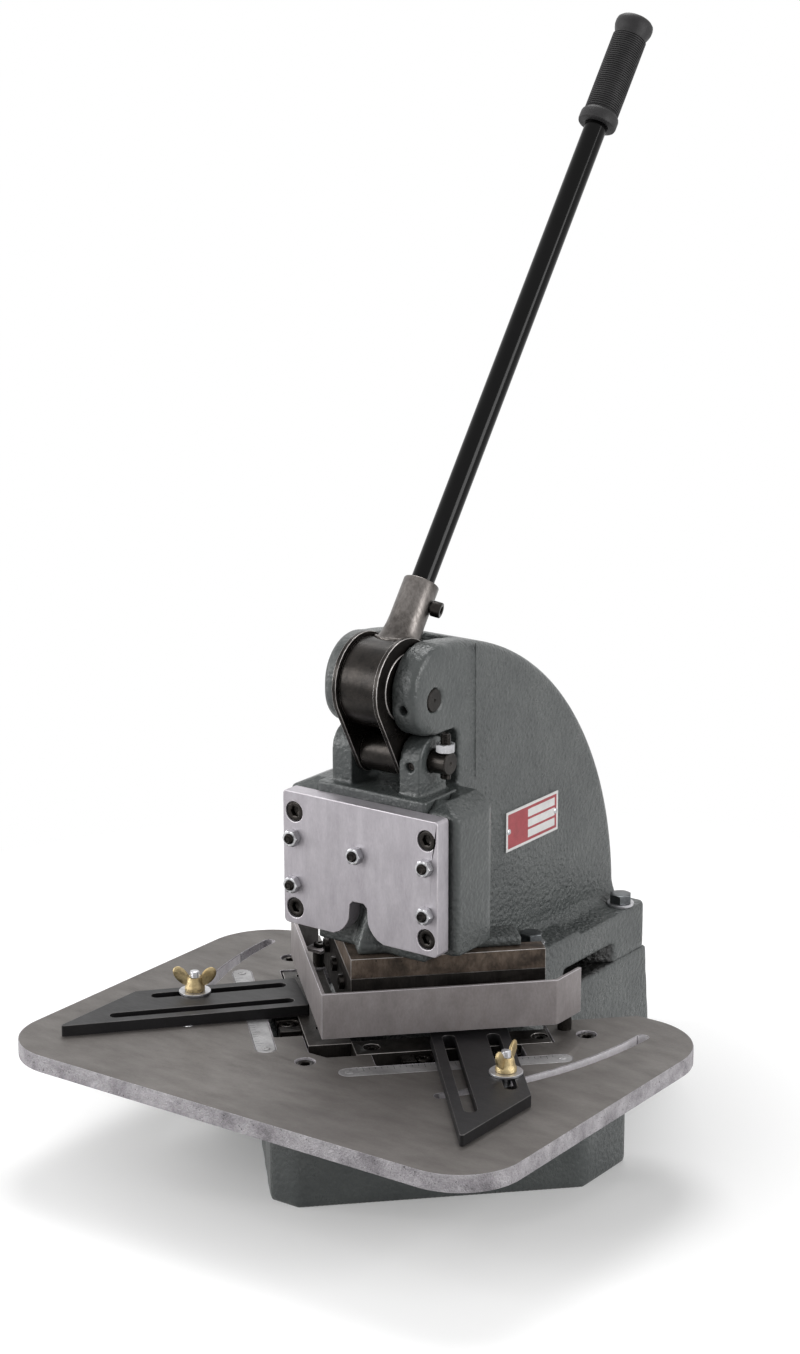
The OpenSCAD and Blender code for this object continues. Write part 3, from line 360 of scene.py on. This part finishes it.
def threaded(radius, pitch, low, high, count=24):
    """Screw thread about Z: the radius falls by a triangle wave of height over pitch less the turn,
    and both end rows are drawn in."""
    height = np.arange(low, high + pitch / 16, pitch / 6)
    t = around(count)
    wave = np.abs(((height[:, None] / pitch - t / (2 * np.pi)) % 1) * 2 - 1)
    r = radius - THREAD_DEPTH * pitch * wave
    r[[0, -1]] = radius - 0.8 * pitch
    points = np.stack([r * np.cos(t), r * np.sin(t), np.broadcast_to(height[:, None], r.shape)], -1)
    return points.reshape(-1, 3), capped(len(height), count)


def tube(path, radius, sides):
    """Round tube along a closed path of points: at each point a circle square to the path, of the
    radius given there."""
    ahead = np.roll(path, -1, 0) - np.roll(path, 1, 0)
    ahead /= np.linalg.norm(ahead, axis=1, keepdims=True)
    away = path - path.mean(0)
    away -= (away * ahead).sum(1, keepdims=True) * ahead
    away /= np.linalg.norm(away, axis=1, keepdims=True)
    other = np.cross(ahead, away)
    t = around(sides)
    circle = np.cos(t)[:, None] * away[:, None] + np.sin(t)[:, None] * other[:, None]
    points = path[:, None] + radius[:, None, None] * circle
    return points.reshape(-1, 3), [face[::-1] for face in grid(len(path), sides, True)]


def slab(outline, low, high):
    """Flat plate: the outline, anticlockwise, at two heights with flat faces."""
    outline = np.asarray(outline, float)
    count = len(outline)
    points = np.concatenate([np.column_stack([outline, np.full(count, z)]) for z in (low, high)])
    return points, capped(2, count)


def box(x, y, z):
    """Square-edged block between two limits on each axis."""
    return slab([(x[0], y[0]), (x[1], y[0]), (x[1], y[1]), (x[0], y[1])], *z)


def round_box(x, y, radius):
    """Outline of a rectangle with quarter circles at its corners."""
    t = np.linspace(0, np.pi / 2, 6)
    corners = [(x[1], y[0], -90), (x[1], y[1], 0), (x[0], y[1], 90), (x[0], y[0], 180)]
    arcs = []
    for corner_x, corner_y, start in corners:
        middle_x = corner_x - radius * np.sign(corner_x - sum(x) / 2)
        middle_y = corner_y - radius * np.sign(corner_y - sum(y) / 2)
        angle = t + math.radians(start)
        arcs.append(np.column_stack([middle_x + radius * np.cos(angle),
                                     middle_y + radius * np.sin(angle)]))
    return np.concatenate(arcs)


def wing(lean, size, thick):
    """One ear of a wing nut, in X and Z: round its leaning oval the edge goes by angle, and from face
    to face the section is a rounded pad whose thickness swells toward the middle."""
    t = around(40)
    s = np.linspace(-np.pi / 2, np.pi / 2, 13)[1:-1]
    across = np.sign(np.cos(s)) * np.abs(np.cos(s)) ** 0.45
    deep = np.sign(np.sin(s)) * np.abs(np.sin(s)) ** 0.9
    u = np.cos(t) * size[0] * (1 + 0.16 * np.sin(t))
    v = np.sin(t) * size[1]
    x = across[:, None] * (u * math.cos(lean) + v * math.sin(lean))
    z = across[:, None] * (v * math.cos(lean) - u * math.sin(lean))
    points = np.stack([x, np.broadcast_to(thick * deep[:, None], x.shape), z], -1)
    return points.reshape(-1, 3), [face[::-1] for face in capped(len(s), len(t))]


def moved(shape, matrix):
    """A shape carried by a 4 by 4 matrix."""
    m = np.array(matrix)
    return shape[0] @ m[:3, :3].T + m[:3, 3], shape[1]


def joined(shapes):
    """Several shapes as one."""
    points, faces, start = [], [], 0
    for corners, sides in shapes:
        points.append(corners)
        faces += [[index + start for index in side] for side in sides]
        start += len(corners)
    return np.concatenate(points), faces


# ---- pieces --------------------------------------------------------------------------------

def dress(node, shape, material=None, edge=0.0, edge_material=None, name=None, replace=True):
    """Makes a shape, in metres, the piece that stands for a node: same body, slot and place. With
    replace off it is a second piece on the node, beside the one that stands for it."""
    mesh = bpy.data.meshes.new(name or node + "_piece")
    mesh.from_pydata(shape[0].tolist(), [], shape[1])
    mesh.validate()
    return settle(mesh, node, [material or SLOT_OF[node], edge_material], edge, name, replace)


def settle(mesh, node, materials, edge=0.0, name=None, replace=True, sharp=35, segments=2):
    """Gives a mesh its materials, shading and edge rounding, and lets it ride with its node. The
    last material is that of the rounded edges, and edge is their width in millimetres."""
    mesh.shade_smooth()
    mesh.set_sharp_from_angle(angle=math.radians(sharp))
    for material in filter(None, materials):
        mesh.materials.append(FINISH[material])
    piece = bpy.data.objects.new(name or node + "_piece", mesh)
    bpy.context.scene.collection.objects.link(piece)
    if edge:
        bevel = piece.modifiers.new("edge", "BEVEL")
        bevel.width = edge * MM
        bevel.segments = segments
        bevel.limit_method = "ANGLE"
        bevel.angle_limit = math.radians(40)
        bevel.use_clamp_overlap = False
        bevel.harden_normals = True
        bevel.material = len(mesh.materials) - 1
    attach(piece, NODES[node]["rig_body"])
    if replace:
        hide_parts(node)
    return piece


def merged(node):
    """The node's mesh, copied, with its loose triangles joined and its flat faces made whole."""
    bm = bmesh.new()
    bm.from_mesh(NODES[node].data)
    bmesh.ops.remove_doubles(bm, verts=bm.verts, dist=2e-6)
    bmesh.ops.dissolve_limit(bm, angle_limit=math.radians(0.6), verts=bm.verts, edges=bm.edges)
    mesh = bpy.data.meshes.new(node + "_piece")
    bm.to_mesh(mesh)
    bm.free()
    return mesh


def machined(node, edge, material, edge_material=None, segments=2):
    """A machined part: the node's own faces with broken edges, in a second finish if one is given."""
    return settle(merged(node), node, [material, edge_material], edge, segments=segments)


def cast(node, cell, passes):
    """A casting: the node filled with even cells, whose corners then relax into rounds and fillets in
    a few passes. The cell is in millimetres."""
    source = bpy.data.objects.new("casting_core", merged(node))
    bpy.context.scene.collection.objects.link(source)
    cells = source.modifiers.new("cells", "REMESH")
    cells.mode = "VOXEL"
    cells.voxel_size = cell * MM
    relax = source.modifiers.new("relax", "SMOOTH")
    relax.factor = 0.5
    relax.iterations = passes
    core = source.evaluated_get(bpy.context.evaluated_depsgraph_get())
    mesh = bpy.data.meshes.new_from_object(core)
    bpy.data.objects.remove(source)
    mesh.name = node + "_piece"
    mesh.materials.clear()
    return settle(mesh, node, [SLOT_OF[node]], sharp=180)


# ---- fasteners and turned parts, fitted to their nodes --------------------------------------

def islands(node):
    """The separate solids in a node, each as its points: labels spread over faces until they agree."""
    data = NODES[node].data
    data.calc_loop_triangles()
    corners = np.empty(len(data.vertices) * 3)
    data.vertices.foreach_get("co", corners)
    triangles = np.empty(len(data.loop_triangles) * 3, int)
    data.loop_triangles.foreach_get("vertices", triangles)
    spots, same = np.unique(np.round(corners.reshape(-1, 3), 6), axis=0, return_inverse=True)
    faces = same.reshape(-1)[triangles].reshape(-1, 3)
    label = np.arange(len(spots))
    while True:
        low = label[faces].min(1)
        new = label.copy()
        np.minimum.at(new, faces.reshape(-1), np.repeat(low, 3))
        if (new == label).all():
            break
        label = new
    return [spots[label == one] for one in np.unique(label[np.unique(faces)])]


def fitted(points, axis):
    """(matrix, length, radius) of a turned solid: local Z runs along axis from its foot, in mm."""
    axis = Vector(axis).normalized()
    turn = axis.to_track_quat("Z", "Y").to_matrix()
    local = points @ np.array(turn)
    low, high = local.min(0), local.max(0)
    foot = turn @ Vector(((low[0] + high[0]) / 2, (low[1] + high[1]) / 2, low[2]))
    matrix = Matrix.Translation(foot) @ turn.to_4x4() @ Matrix.Scale(MM, 4)
    return matrix, (high[2] - low[2]) / MM, (high[0] - low[0]) / 2 / MM


def each(node, axis, make):
    """One shape per solid of a node; axis may depend on which side the solid is, and make is told
    the solid's length and radius."""
    shapes = []
    for points in islands(node):
        side = 1.0 if points[:, 0].mean() > 0 else -1.0
        matrix, length, radius = fitted(points, axis(side) if callable(axis) else axis)
        shapes.append(moved(make(length, radius), matrix))
    return joined(shapes)


def cap_screw(r, head_r, head_h, key_r):
    """Socket head cap screw: thread, head with broken edges, and a hexagon socket with a round foot."""
    def make(length, _):
        neck = length - head_h
        head = turned([
            (r * 0.98, neck - 3), (r, neck), (head_r - 0.3, neck), (head_r, neck + 0.3),
            (head_r, length - 0.9), (head_r - 0.3, length - 0.3), (head_r - 1.0, length),
            (key_r + 0.5, length), (key_r + 0.05, length - 0.35, 0.6), (key_r, length - 0.5, 1),
            (key_r, length - head_h * 0.5, 1), (key_r * 0.8, length - head_h * 0.52),
            (0.3, length - head_h * 0.62)])
        return joined([head, threaded(r, max(0.2 * r, 0.7), 0, neck - 2.9)])
    return make


def hex_nut(bore):
    """Nut: six flats whose corners are chamfered at both faces, with a countersunk bore."""
    def make(length, radius):
        flat = radius * math.cos(math.pi / 6)
        cut = [(radius, z, 1, flat * 0.97 + z * 1.73) for z in (0, 0.25, 0.5, 0.75, 1.0, 1.3)]
        top = [(radius, length - z, 1, flat * 0.97 + z * 1.73) for z in (1.3, 1.0, 0.75, 0.5, 0.25, 0)]
        return turned([(bore, 0.6), (bore + 0.6, 0), *cut, *top,
                       (bore + 0.6, length), (bore, length - 0.6)], ring=True)
    return make


def set_screw(key_r, pitch):
    """Socket set screw: thread all along and a hexagon socket in its end."""
    def make(length, radius):
        body = threaded(radius, pitch, 0, length - 0.7)
        end = turned([(radius - 0.9, length - 3), (radius - 0.9, length - 0.8), (radius - 1.1, length),
                      (key_r + 0.25, length), (key_r, length - 0.3, 1), (key_r, length - 2.4, 1),
                      (0.3, length - 2.9)], 36)
        return joined([body, end])
    return make


def washer(bore):
    """Flat washer with rounded rims."""
    def make(length, radius):
        return turned([(bore, 0.2), (bore + 0.2, 0), (radius - 0.3, 0), (radius, 0.3),
                       (radius, length - 0.3), (radius - 0.3, length), (bore + 0.2, length),
                       (bore, length - 0.2)], 64, True)
    return make


def sleeve(bore, count):
    """Round sleeve with square ends."""
    def make(length, radius):
        return turned([(bore, 0), (radius, 0), (radius, length), (bore, length)], count, True)
    return make


def hex_bolt(r, head_h):
    """Hexagon head bolt: thread, washer face, and a head domed by its chamfer."""
    def make(length, radius):
        neck = length - head_h
        flat = radius * math.cos(math.pi / 6)
        top = [(radius, length - z, 1, flat * 0.95 + z * 1.9) for z in (1.5, 1.1, 0.8, 0.5, 0.25, 0)]
        head = turned([(r * 0.98, neck - 3), (r, neck), (flat * 0.96, neck), (flat * 0.96, neck + 0.4),
                       (radius, neck + 0.4, 1), *top, (flat * 0.5, length)])
        return joined([head, threaded(r, 1.2, 0, neck - 2.9)])
    return make


def pin(break_edge):
    """Plain round pin with chamfered ends and a centre mark."""
    def make(length, radius):
        return turned([(0.6, 0.9), (1.6, 0), (radius - break_edge, 0), (radius, break_edge),
                       (radius, length - break_edge), (radius - break_edge, length), (1.6, length),
                       (0.6, length - 0.9)], 64)
    return make


def drive_pin(length, radius):
    """Small pin with a low domed head."""
    return turned([(1.5, 0), (1.5, length - 1), (radius, length - 1), (radius, length - 0.8),
                   (radius * 0.8, length - 0.3), (radius * 0.4, length)], 32)


SIDES = ("left", "right")
UP, DOWN, FRONT, RIGHT = (0, 0, 1), (0, 0, -1), (0, -1, 0), (1, 0, 0)
LEAN = math.radians(36.4)           # the handle's lean away from the operator at rest
HANDLE = (0, math.sin(LEAN), math.cos(LEAN))
SET_TILT = math.radians(98)         # the set screws' turn from upright toward the operator
SET_AXIS = (0, -math.sin(SET_TILT), math.cos(SET_TILT))


def blade_axis(side):
    """Way out of the upper blade's face on one side."""
    return side, -1, 0


SCREW_M8 = cap_screw(4, 6.5, 8, 3.4)
dress("table_screws", each("table_screws", UP, cap_screw(5, 7.8, 8.5, 4.6)))
dress("lower_die_screws", each("lower_die_screws", UP, SCREW_M8))
dress("die_clamp_screws", each("die_clamp_screws", UP, cap_screw(4, 6.5, 5.5, 3.4)))
dress("guard_screws", each("guard_screws", UP, cap_screw(3, 5.2, 3.4, 2)))
dress("plate_screws", each("plate_screws", FRONT, cap_screw(5, 8, 9.5, 4.6)))
dress("blade_screws", each("blade_screws", blade_axis, SCREW_M8))
dress("block_screws", each("block_screws", DOWN, cap_screw(5, 8, 10, 4.6)))
dress("jack_screws", each("jack_screws", FRONT, set_screw(2.3, 0.9)))
dress("drag_screw", each("drag_screw", FRONT, set_screw(2.3, 0.9)))
dress("lock_nuts", each("lock_nuts", FRONT, hex_nut(4.03)))
dress("ram_set_screw", each("ram_set_screw", SET_AXIS, set_screw(2.3, 0.9)))
dress("pin_set_screw", each("pin_set_screw", SET_AXIS, set_screw(2.3, 0.9)))
dress("stop_screw", each("stop_screw", UP, set_screw(2.6, 1.25)))
dress("stop_nut", each("stop_nut", UP, hex_nut(4.53)))
dress("frame_bolts", each("frame_bolts", UP, hex_bolt(6, 8)), "bolt_steel")
dress("frame_washers", each("frame_washers", UP, washer(6.3)))
dress("upper_pin", each("upper_pin", RIGHT, pin(0.7)))
dress("lower_pin", each("lower_pin", RIGHT, pin(0.8)))
dress("guard_posts", each("guard_posts", UP, washer(3.3)))
dress("hub_bush", each("hub_bush", RIGHT, sleeve(9.55, 64)))
# The roller's bevelled edges carry the painted edge highlight.
dress("lower_roller", each("lower_roller", RIGHT, sleeve(9.53, 96)), edge=0.7,
      edge_material="painted_edge_highlight")
for side in SIDES:
    dress(side + "_washer", each(side + "_washer", UP, washer(4.3)))
dress("label_pins", each("label_pins", RIGHT, drive_pin))


SLOT_HALF = 0.5    # half the width of a small screw's slot


def slotted_screw(length, radius):
    """Small round-head screw: a shank and a domed head, whose top points sink where they lie within
    the slot, that is within SLOT_HALF of the head's middle line."""
    neck = length - 0.8
    rise = np.linspace(0, np.pi / 2, 7)[:-1]
    dome = [(radius * math.cos(a), neck + 0.25 + 0.55 * math.sin(a)) for a in rise]
    points, faces = turned([(2, 0), (2, neck), (radius, neck), *dome], 48)
    in_slot = (np.abs(points[:, 0]) < SLOT_HALF) & (points[:, 2] > neck + 0.3)
    points[in_slot, 2] -= 0.3
    return points, faces


dress("scale_screws", each("scale_screws", UP, slotted_screw))


# ---- lever ---------------------------------------------------------------------------------

FIXED_PIN = Vector((0, -0.088, 0.3945))             # middle of the upper pin, in metres
HUB = Vector((0, -0.095713, 0.403693))              # middle of the eccentric, 12 mm from it
DRUM_RADIUS, DRUM_WIDTH = 36.0, 36.2                # these and the next in millimetres
BOSS_RADIUS, HUB_BORE = 28, 12.5
SOCKET_SIDES = 72
WELD_RADIUS = 19.2
along_handle = Matrix.Translation(HUB) @ Matrix.Rotation(-LEAN, 4, "X") @ Matrix.Scale(MM, 4)


def hub_shape():
    """The round eccentric: a drum between two smaller bosses, and a bore off its centre."""
    place, length, radius = fitted(np.concatenate(islands("lever_hub")), RIGHT)
    bore = place.inverted() @ FIXED_PIN
    step = (length - DRUM_WIDTH) / 2
    face = [(BOSS_RADIUS, 0), (BOSS_RADIUS, step), (radius, step)]
    rows = [(HUB_BORE, 0, 0, NO_RIM, bore.x, bore.y), *face, *[(r, length - z) for r, z in face[::-1]],
            (HUB_BORE, length, 0, NO_RIM, bore.x, bore.y)]
    return moved(turned(rows, 128, True), place)


def saddle(radius, turn):
    """Height above the hub's centre at which a tube of that radius meets the drum: by Pythagoras,
    from the drum's radius and the tube's reach across the drum at that turn."""
    return np.sqrt(DRUM_RADIUS ** 2 - (radius * np.sin(turn)) ** 2)


def socket_shape():
    """Tube that ends on the drum: each row is (radius, height, share), and share 1 follows the saddle
    curve while share 0 is level; the foot flares out like a smoothed weld."""
    rows = np.array([(19.6, 35.0, 1), (18.4, 37.2, 0.95), (17.2, 40.0, 0.8), (16.2, 44.0, 0.5),
                     (15.4, 49.0, 0.2), (15.0, 56.0, 0), (15.0, 89.4, 0), (14.7, 90.0, 0),
                     (14.2, 90.3, 0), (10.4, 90.3, 0), (9.95, 90.0, 0), (9.85, 89.4, 0),
                     (9.85, 80, 0)])[:, :, None]
    t = around(SOCKET_SIDES)
    height = rows[:, 1] + rows[:, 2] * (saddle(rows[:, 0], t) - DRUM_RADIUS)
    points = np.stack([rows[:, 0] * np.cos(t), rows[:, 0] * np.sin(t), height], -1)
    return points.reshape(-1, 3), capped(len(rows), SOCKET_SIDES)


def weld_bead():
    """Bead round the socket's foot: a tube on the saddle curve whose radius ripples round the turn."""
    t = around(144)
    path = np.column_stack([WELD_RADIUS * np.cos(t), WELD_RADIUS * np.sin(t),
                            saddle(WELD_RADIUS, t) + 0.1])
    ripple = 0.28 * np.abs(np.sin(15 * t)) + 0.15 * np.sin(5 * t + 1)
    return tube(path, 1.5 + ripple, 12)


def bar_shape(length, radius):
    """Round bar with small chamfers at its ends."""
    return turned([(radius - 0.5, 0), (radius, 0.5), (radius, length - 0.5), (radius - 0.5, length)], 96)


GRIP_RADIUS, RIBS, RIB_PITCH = 14.05, 37, 2.0


def grip_shape(length, _):
    """Rubber grip: flanges at both ends and, between them, RIBS ribs as a raised profile."""
    foot = [(9.85, 3), (9.85, 0.3), (10.2, 0), (15.3, 0), (16.3, 0.5), (16.75, 2.0), (16.75, 8.2),
            (16.3, 9.8), (14.6, 11.6), (GRIP_RADIUS, 12.4)]
    ribs = [(GRIP_RADIUS + lift, 13.4 + RIB_PITCH * k + rise) for k in range(RIBS)
            for lift, rise in ((0, 0), (0.85, 0.35), (0.85, 1.15), (0, 1.5))]
    top = [(GRIP_RADIUS, 88.2), (14.6, 90.5), (15.6, 93.2), (16.5, 96.4), (16.6, 99.6), (16.1, 102.0),
           (14.8, 103.5), (12.5, length), (1.6, length), (1.3, length - 0.4), (1.3, length - 3)]
    return turned([*foot, *ribs, *top], 64)


# The hub's bevelled edges carry the painted edge highlight.
dress("lever_hub", hub_shape(), edge=0.8, edge_material="painted_edge_highlight")
dress("handle_socket", moved(joined([socket_shape(), weld_bead()]), along_handle), "socket_steel")
SCREW_SPIN = math.radians(20)       # the socket screw's turn about the handle, from the right
SOCKET_SCREW_AXIS = (math.cos(SCREW_SPIN), math.sin(SCREW_SPIN) * math.cos(LEAN),
                     -math.sin(SCREW_SPIN) * math.sin(LEAN))
dress("socket_screw", each("socket_screw", SOCKET_SCREW_AXIS, SCREW_M8))
dress("handle_bar", each("handle_bar", HANDLE, bar_shape))
dress("grip", each("grip", HANDLE, grip_shape))


# ---- clamps on the fences ------------------------------------------------------------------

def wing_nut_shape():
    """Wing nut: a turned foot and cone with a bore, and two padded oval ears leaning outward."""
    body = turned([(4.05, 0.4), (4.4, 0), (8.1, 0), (8.6, 0.5), (8.5, 3.2), (7.7, 4.4), (7.2, 6.0),
                   (6.2, 11.2), (5.7, 12.0), (4.5, 12.0), (4.05, 11.6)], 48, True)
    ear = moved(wing(math.radians(39), (5.4, 10.2), 1.7), Matrix.Translation((10.6, 0, 12.0)))
    return joined([body, ear, moved(ear, Matrix.Rotation(math.pi, 4, "Z"))])


def clamp_bolt(length, radius):
    """Clamp bolt: a flat round head and a thread up to its chamfered end."""
    head = turned([(radius - 0.5, 0), (radius, 0.5), (radius, 4.5), (radius - 0.5, 4.95), (3.9, 4.95),
                   (3.9, 8)], 48)
    return joined([head, threaded(4, 1.25, 7, length)])


for side, turn in (("left", 32), ("right", 98)):
    foot = fitted(np.concatenate(islands(side + "_wing_nut")), UP)[0].to_translation()
    place = Matrix.Translation(foot) @ Matrix.Rotation(math.radians(turn), 4, "Z") @ Matrix.Scale(MM, 4)
    dress(side + "_wing_nut", moved(wing_nut_shape(), place))
    dress(side + "_clamp_bolt", each(side + "_clamp_bolt", UP, clamp_bolt))


# ---- flat machined parts -------------------------------------------------------------------

# On most of these parts the second finish is a painted edge highlight on the bevels.
for side in SIDES:
    machined(side + "_fence", 0.5, "fence_black", "fence_rim_highlight")
    machined(side + "_blade", 0.4, "blade_steel", "painted_edge_highlight")
    machined(side + "_lower_die", 0.4, "blade_steel", "painted_edge_highlight")
    machined(side + "_die_clamps", 0.6, "black_steel")
    machined(side + "_link_plate", 0.5, "black_steel", "painted_edge_highlight")
    machined(side + "_scale", 0.3, "scale_steel")
# The front plate, punch block and guard carry a painted edge highlight on their bevels.
machined("front_plate", 0.8, "plate_steel", "plate_rim_highlight", segments=3)
machined("punch_block", 0.5, "punch_steel", "painted_edge_highlight")
machined("guard", 0.35, "guard_steel", "plate_rim_highlight")
machined("label_plate", 0.12, "label")


SLOT_CENTRES = ((-0.169, 1), (0.159, -1))    # X of each slot's circle, and the side its slot is on
SLOT_CENTRE_Y, SLOT_RADIUS = 0.017, 0.359
SLOT_REACH = (0.12, 0.2)                     # how far from the middle the slots' walls lie
TOP, EDGE, SLOT = 0, 1, 2                    # the table's materials


def ground_table():
    """The table: ground faces, a second finish on its rough walls, and a bright one on the milled walls
    of the curved slots, which lie within 8 mm of each slot's middle circle."""
    piece = machined("table", 0.7, "table_steel")
    mesh = piece.data
    mesh.materials.append(FINISH["table_edge"])
    mesh.materials.append(FINISH["slot_wall"])
    normals = np.empty(len(mesh.polygons) * 3)
    mesh.polygons.foreach_get("normal", normals)
    middles = np.empty(len(mesh.polygons) * 3)
    mesh.polygons.foreach_get("center", middles)
    x, y, _ = middles.reshape(-1, 3).T
    wall = np.abs(normals.reshape(-1, 3)[:, 2]) < 0.5
    in_slot = np.zeros(len(wall), bool)
    for centre_x, sign in SLOT_CENTRES:
        on_ring = np.abs(np.hypot(x - centre_x, y - SLOT_CENTRE_Y) - SLOT_RADIUS) < 8 * MM
        out = x * sign
        in_slot |= on_ring & (y < SLOT_CENTRE_Y) & (out > SLOT_REACH[0]) & (out < SLOT_REACH[1])
    index = np.where(wall, np.where(in_slot, SLOT, EDGE), TOP)
    mesh.polygons.foreach_set("material_index", index.astype(np.int32))
    piece.modifiers["edge"].material = EDGE


ground_table()


TICK_STEP = 5    # millimetres, as the ticks' other sizes


def scale_marks(side):
    """Plain ticks across a scale strip, every fifth one longer, as thin inlays in its top face."""
    ticks = []
    for k in range(-16, 17):
        reach = 7.0 if k % 5 == 0 else 4.0
        ticks.append(box((k * TICK_STEP - 0.2, k * TICK_STEP + 0.2), (7.2 - reach, 7.2), (-0.2, 0.03)))
    low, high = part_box(side + "_scale")
    spot = (low + high) / 2
    turn = math.radians(45 if side == "right" else 135)
    place = (Matrix.Translation((spot.x, spot.y, high.z)) @ Matrix.Rotation(turn, 4, "Z")
             @ Matrix.Scale(MM, 4))
    return moved(joined(ticks), place)


for side in SIDES:
    dress(side + "_scale", scale_marks(side), "scale_ink", name=side + "_scale_ticks",
          replace=False)


def label_inlay(kind):
    """The label's printed fields as thin inlays: a red field inside a white border, and three white
    boxes in its right part. Local x runs along the label, y up, z out of it."""
    if kind == "red":
        field = [slab(round_box((2.6, 77.4), (2.4, 32.6), 0.6), -0.1, 0.05)]
    else:
        field = [slab(round_box((33, 74.6), (foot, foot + 7.0), 0.5), -0.05, 0.1)
                 for foot in (4.9, 14.0, 23.1)]
    low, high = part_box("label_plate")
    place = Matrix(((0, 0, MM, high.x), (MM, 0, 0, low.y), (0, MM, 0, low.z), (0, 0, 0, 1)))
    return moved(joined(field), place)


dress("label_plate", label_inlay("red"), "label_red", name="label_red_field", replace=False)
dress("label_plate", label_inlay("white"), "label", name="label_white_boxes", replace=False)


# ---- castings ------------------------------------------------------------------------------

cast("base", 2.7, 3)
cast("frame", 2.0, 3)
cast("ram", 1.6, 3)


WEB_HALF, SEAM_Y, SEAM_FOOT = 0.0454, -0.0305, 0.3165    # the frame's half thickness, and a seam's foot


def parting_seam(side):
    """Thin half-round rib up one side of the frame, from the housing to the curved back: a round rod
    whose axis lies in the frame's face, so half of it stands proud."""
    rod = turned([(0.3, 0), (0.75, 1.2), (0.75, 112), (0.3, 113.5)], 16)
    return moved(rod, Matrix.Translation((side * WEB_HALF, SEAM_Y, SEAM_FOOT)) @ Matrix.Scale(MM, 4))


dress("frame", joined([parting_seam(1), parting_seam(-1)]), name="frame_seams", replace=False)


# ---- studio --------------------------------------------------------------------------------

WHITE = (1, 1, 1, 1)
FILL = 0.32              # the world's light on the machine
PAINTED_SHADOW_REACH = (0.15, 0.36)       # distances over which the floor's lift grows; the lower lift nearer the machine is a painted shadow round its foot
FLOOR_HALF = 6
FLOOR_GREY = (0.82, 0.82, 0.82, 1)


def clear_rays(w):
    """1 for camera, glossy and transmission rays, which see the plain white background."""
    path = w.add("ShaderNodeLightPath")
    seen = w.maths("MAXIMUM", path.outputs["Is Camera Ray"], path.outputs["Is Glossy Ray"])
    return w.maths("MAXIMUM", seen, path.outputs["Is Transmission Ray"])


def white_world(level):
    """White wherever it is seen or mirrored, and a softer light on the object itself."""
    world = bpy.data.worlds.new("studio")
    world.use_nodes = True
    bpy.context.scene.world = world
    w = Wiring(world.node_tree)
    w.tree.nodes.clear()
    fill = w.add("ShaderNodeBackground", {"Color": WHITE, "Strength": level}).outputs[0]
    seen = w.add("ShaderNodeBackground", {"Color": WHITE, "Strength": 1.0}).outputs[0]
    mix = w.add("ShaderNodeMixShader", {0: clear_rays(w), 1: fill, 2: seen})
    w.add("ShaderNodeOutputWorld", {"Surface": mix.outputs[0]})


def pale_floor(lift, near, far):
    """Plain floor: its shading keeps the shadow, with a lift on the rays that see it that grows with the
    distance from the machine, so that the floor close round the machine is darker as a painted shadow;
    and from near to far it turns into plain white as the world."""
    mesh = bpy.data.meshes.new("floor")
    corners = [(x * FLOOR_HALF, y * FLOOR_HALF, 0) for x, y in ((-1, -1), (1, -1), (1, 1), (-1, 1))]
    mesh.from_pydata(corners, [], [(0, 1, 2, 3)])
    floor = bpy.data.objects.new("floor", mesh)
    bpy.context.scene.collection.objects.link(floor)
    material = bpy.data.materials.new("floor_white")
    material.use_nodes = True
    w = Wiring(material.node_tree)
    w.tree.nodes.clear()
    place = w.add("ShaderNodeTexCoord").outputs["Object"]
    away = w.add("ShaderNodeVectorMath", {0: place}, operation="LENGTH").outputs["Value"]
    matt = w.add("ShaderNodeBsdfDiffuse", {"Color": FLOOR_GREY}).outputs[0]
    seen = clear_rays(w)
    # Painted shadow: close to the machine the lift drops to 0.1, so the floor darkens round its foot.
    lift_with_painted_shadow = w.maths("MULTIPLY", seen, w.span(away, *PAINTED_SHADOW_REACH, 0.1, lift))
    glow = w.add("ShaderNodeEmission", {"Color": WHITE, "Strength": lift_with_painted_shadow}).outputs[0]
    shaded = w.add("ShaderNodeAddShader", {0: matt, 1: glow}).outputs[0]
    plain = w.add("ShaderNodeEmission", {"Color": WHITE,
                                         "Strength": w.span(seen, 0.0, 1.0, FILL, 1.0)}).outputs[0]
    whole = w.add("ShaderNodeMixShader", {0: w.span(away, near, far, 0.0, 1.0), 1: shaded, 2: plain})
    w.add("ShaderNodeOutputMaterial", {"Surface": whole.outputs[0]})
    mesh.materials.append(material)


def softbox(name, place, target, size, watts):
    """Square area lamp that faces its target."""
    lamp = bpy.data.lights.new(name, "AREA")
    lamp.shape = "RECTANGLE"
    lamp.size, lamp.size_y = size
    lamp.energy = watts
    holder = bpy.data.objects.new(name, lamp)
    holder.location = place
    holder.rotation_euler = (Vector(target) - Vector(place)).to_track_quat("-Z", "Y").to_euler()
    bpy.context.scene.collection.objects.link(holder)


white_world(FILL)
pale_floor(0.36, 0.5, 0.85)
softbox("front_softbox", (-1.5, -2.3, 1.2), (0, 0, 0.3), (1.0, 1.4), 26)
softbox("left_strip", (-1.9, -1.1, 0.9), (0, -0.1, 0.5), (0.09, 1.7), 16)
softbox("right_softbox", (2.5, 0.3, 1.1), (0, 0, 0.3), (1.0, 1.6), 35)
softbox("top_softbox", (-0.7, 1.0, 2.5), (0, -0.05, 0.2), (1.2, 1.2), 32)
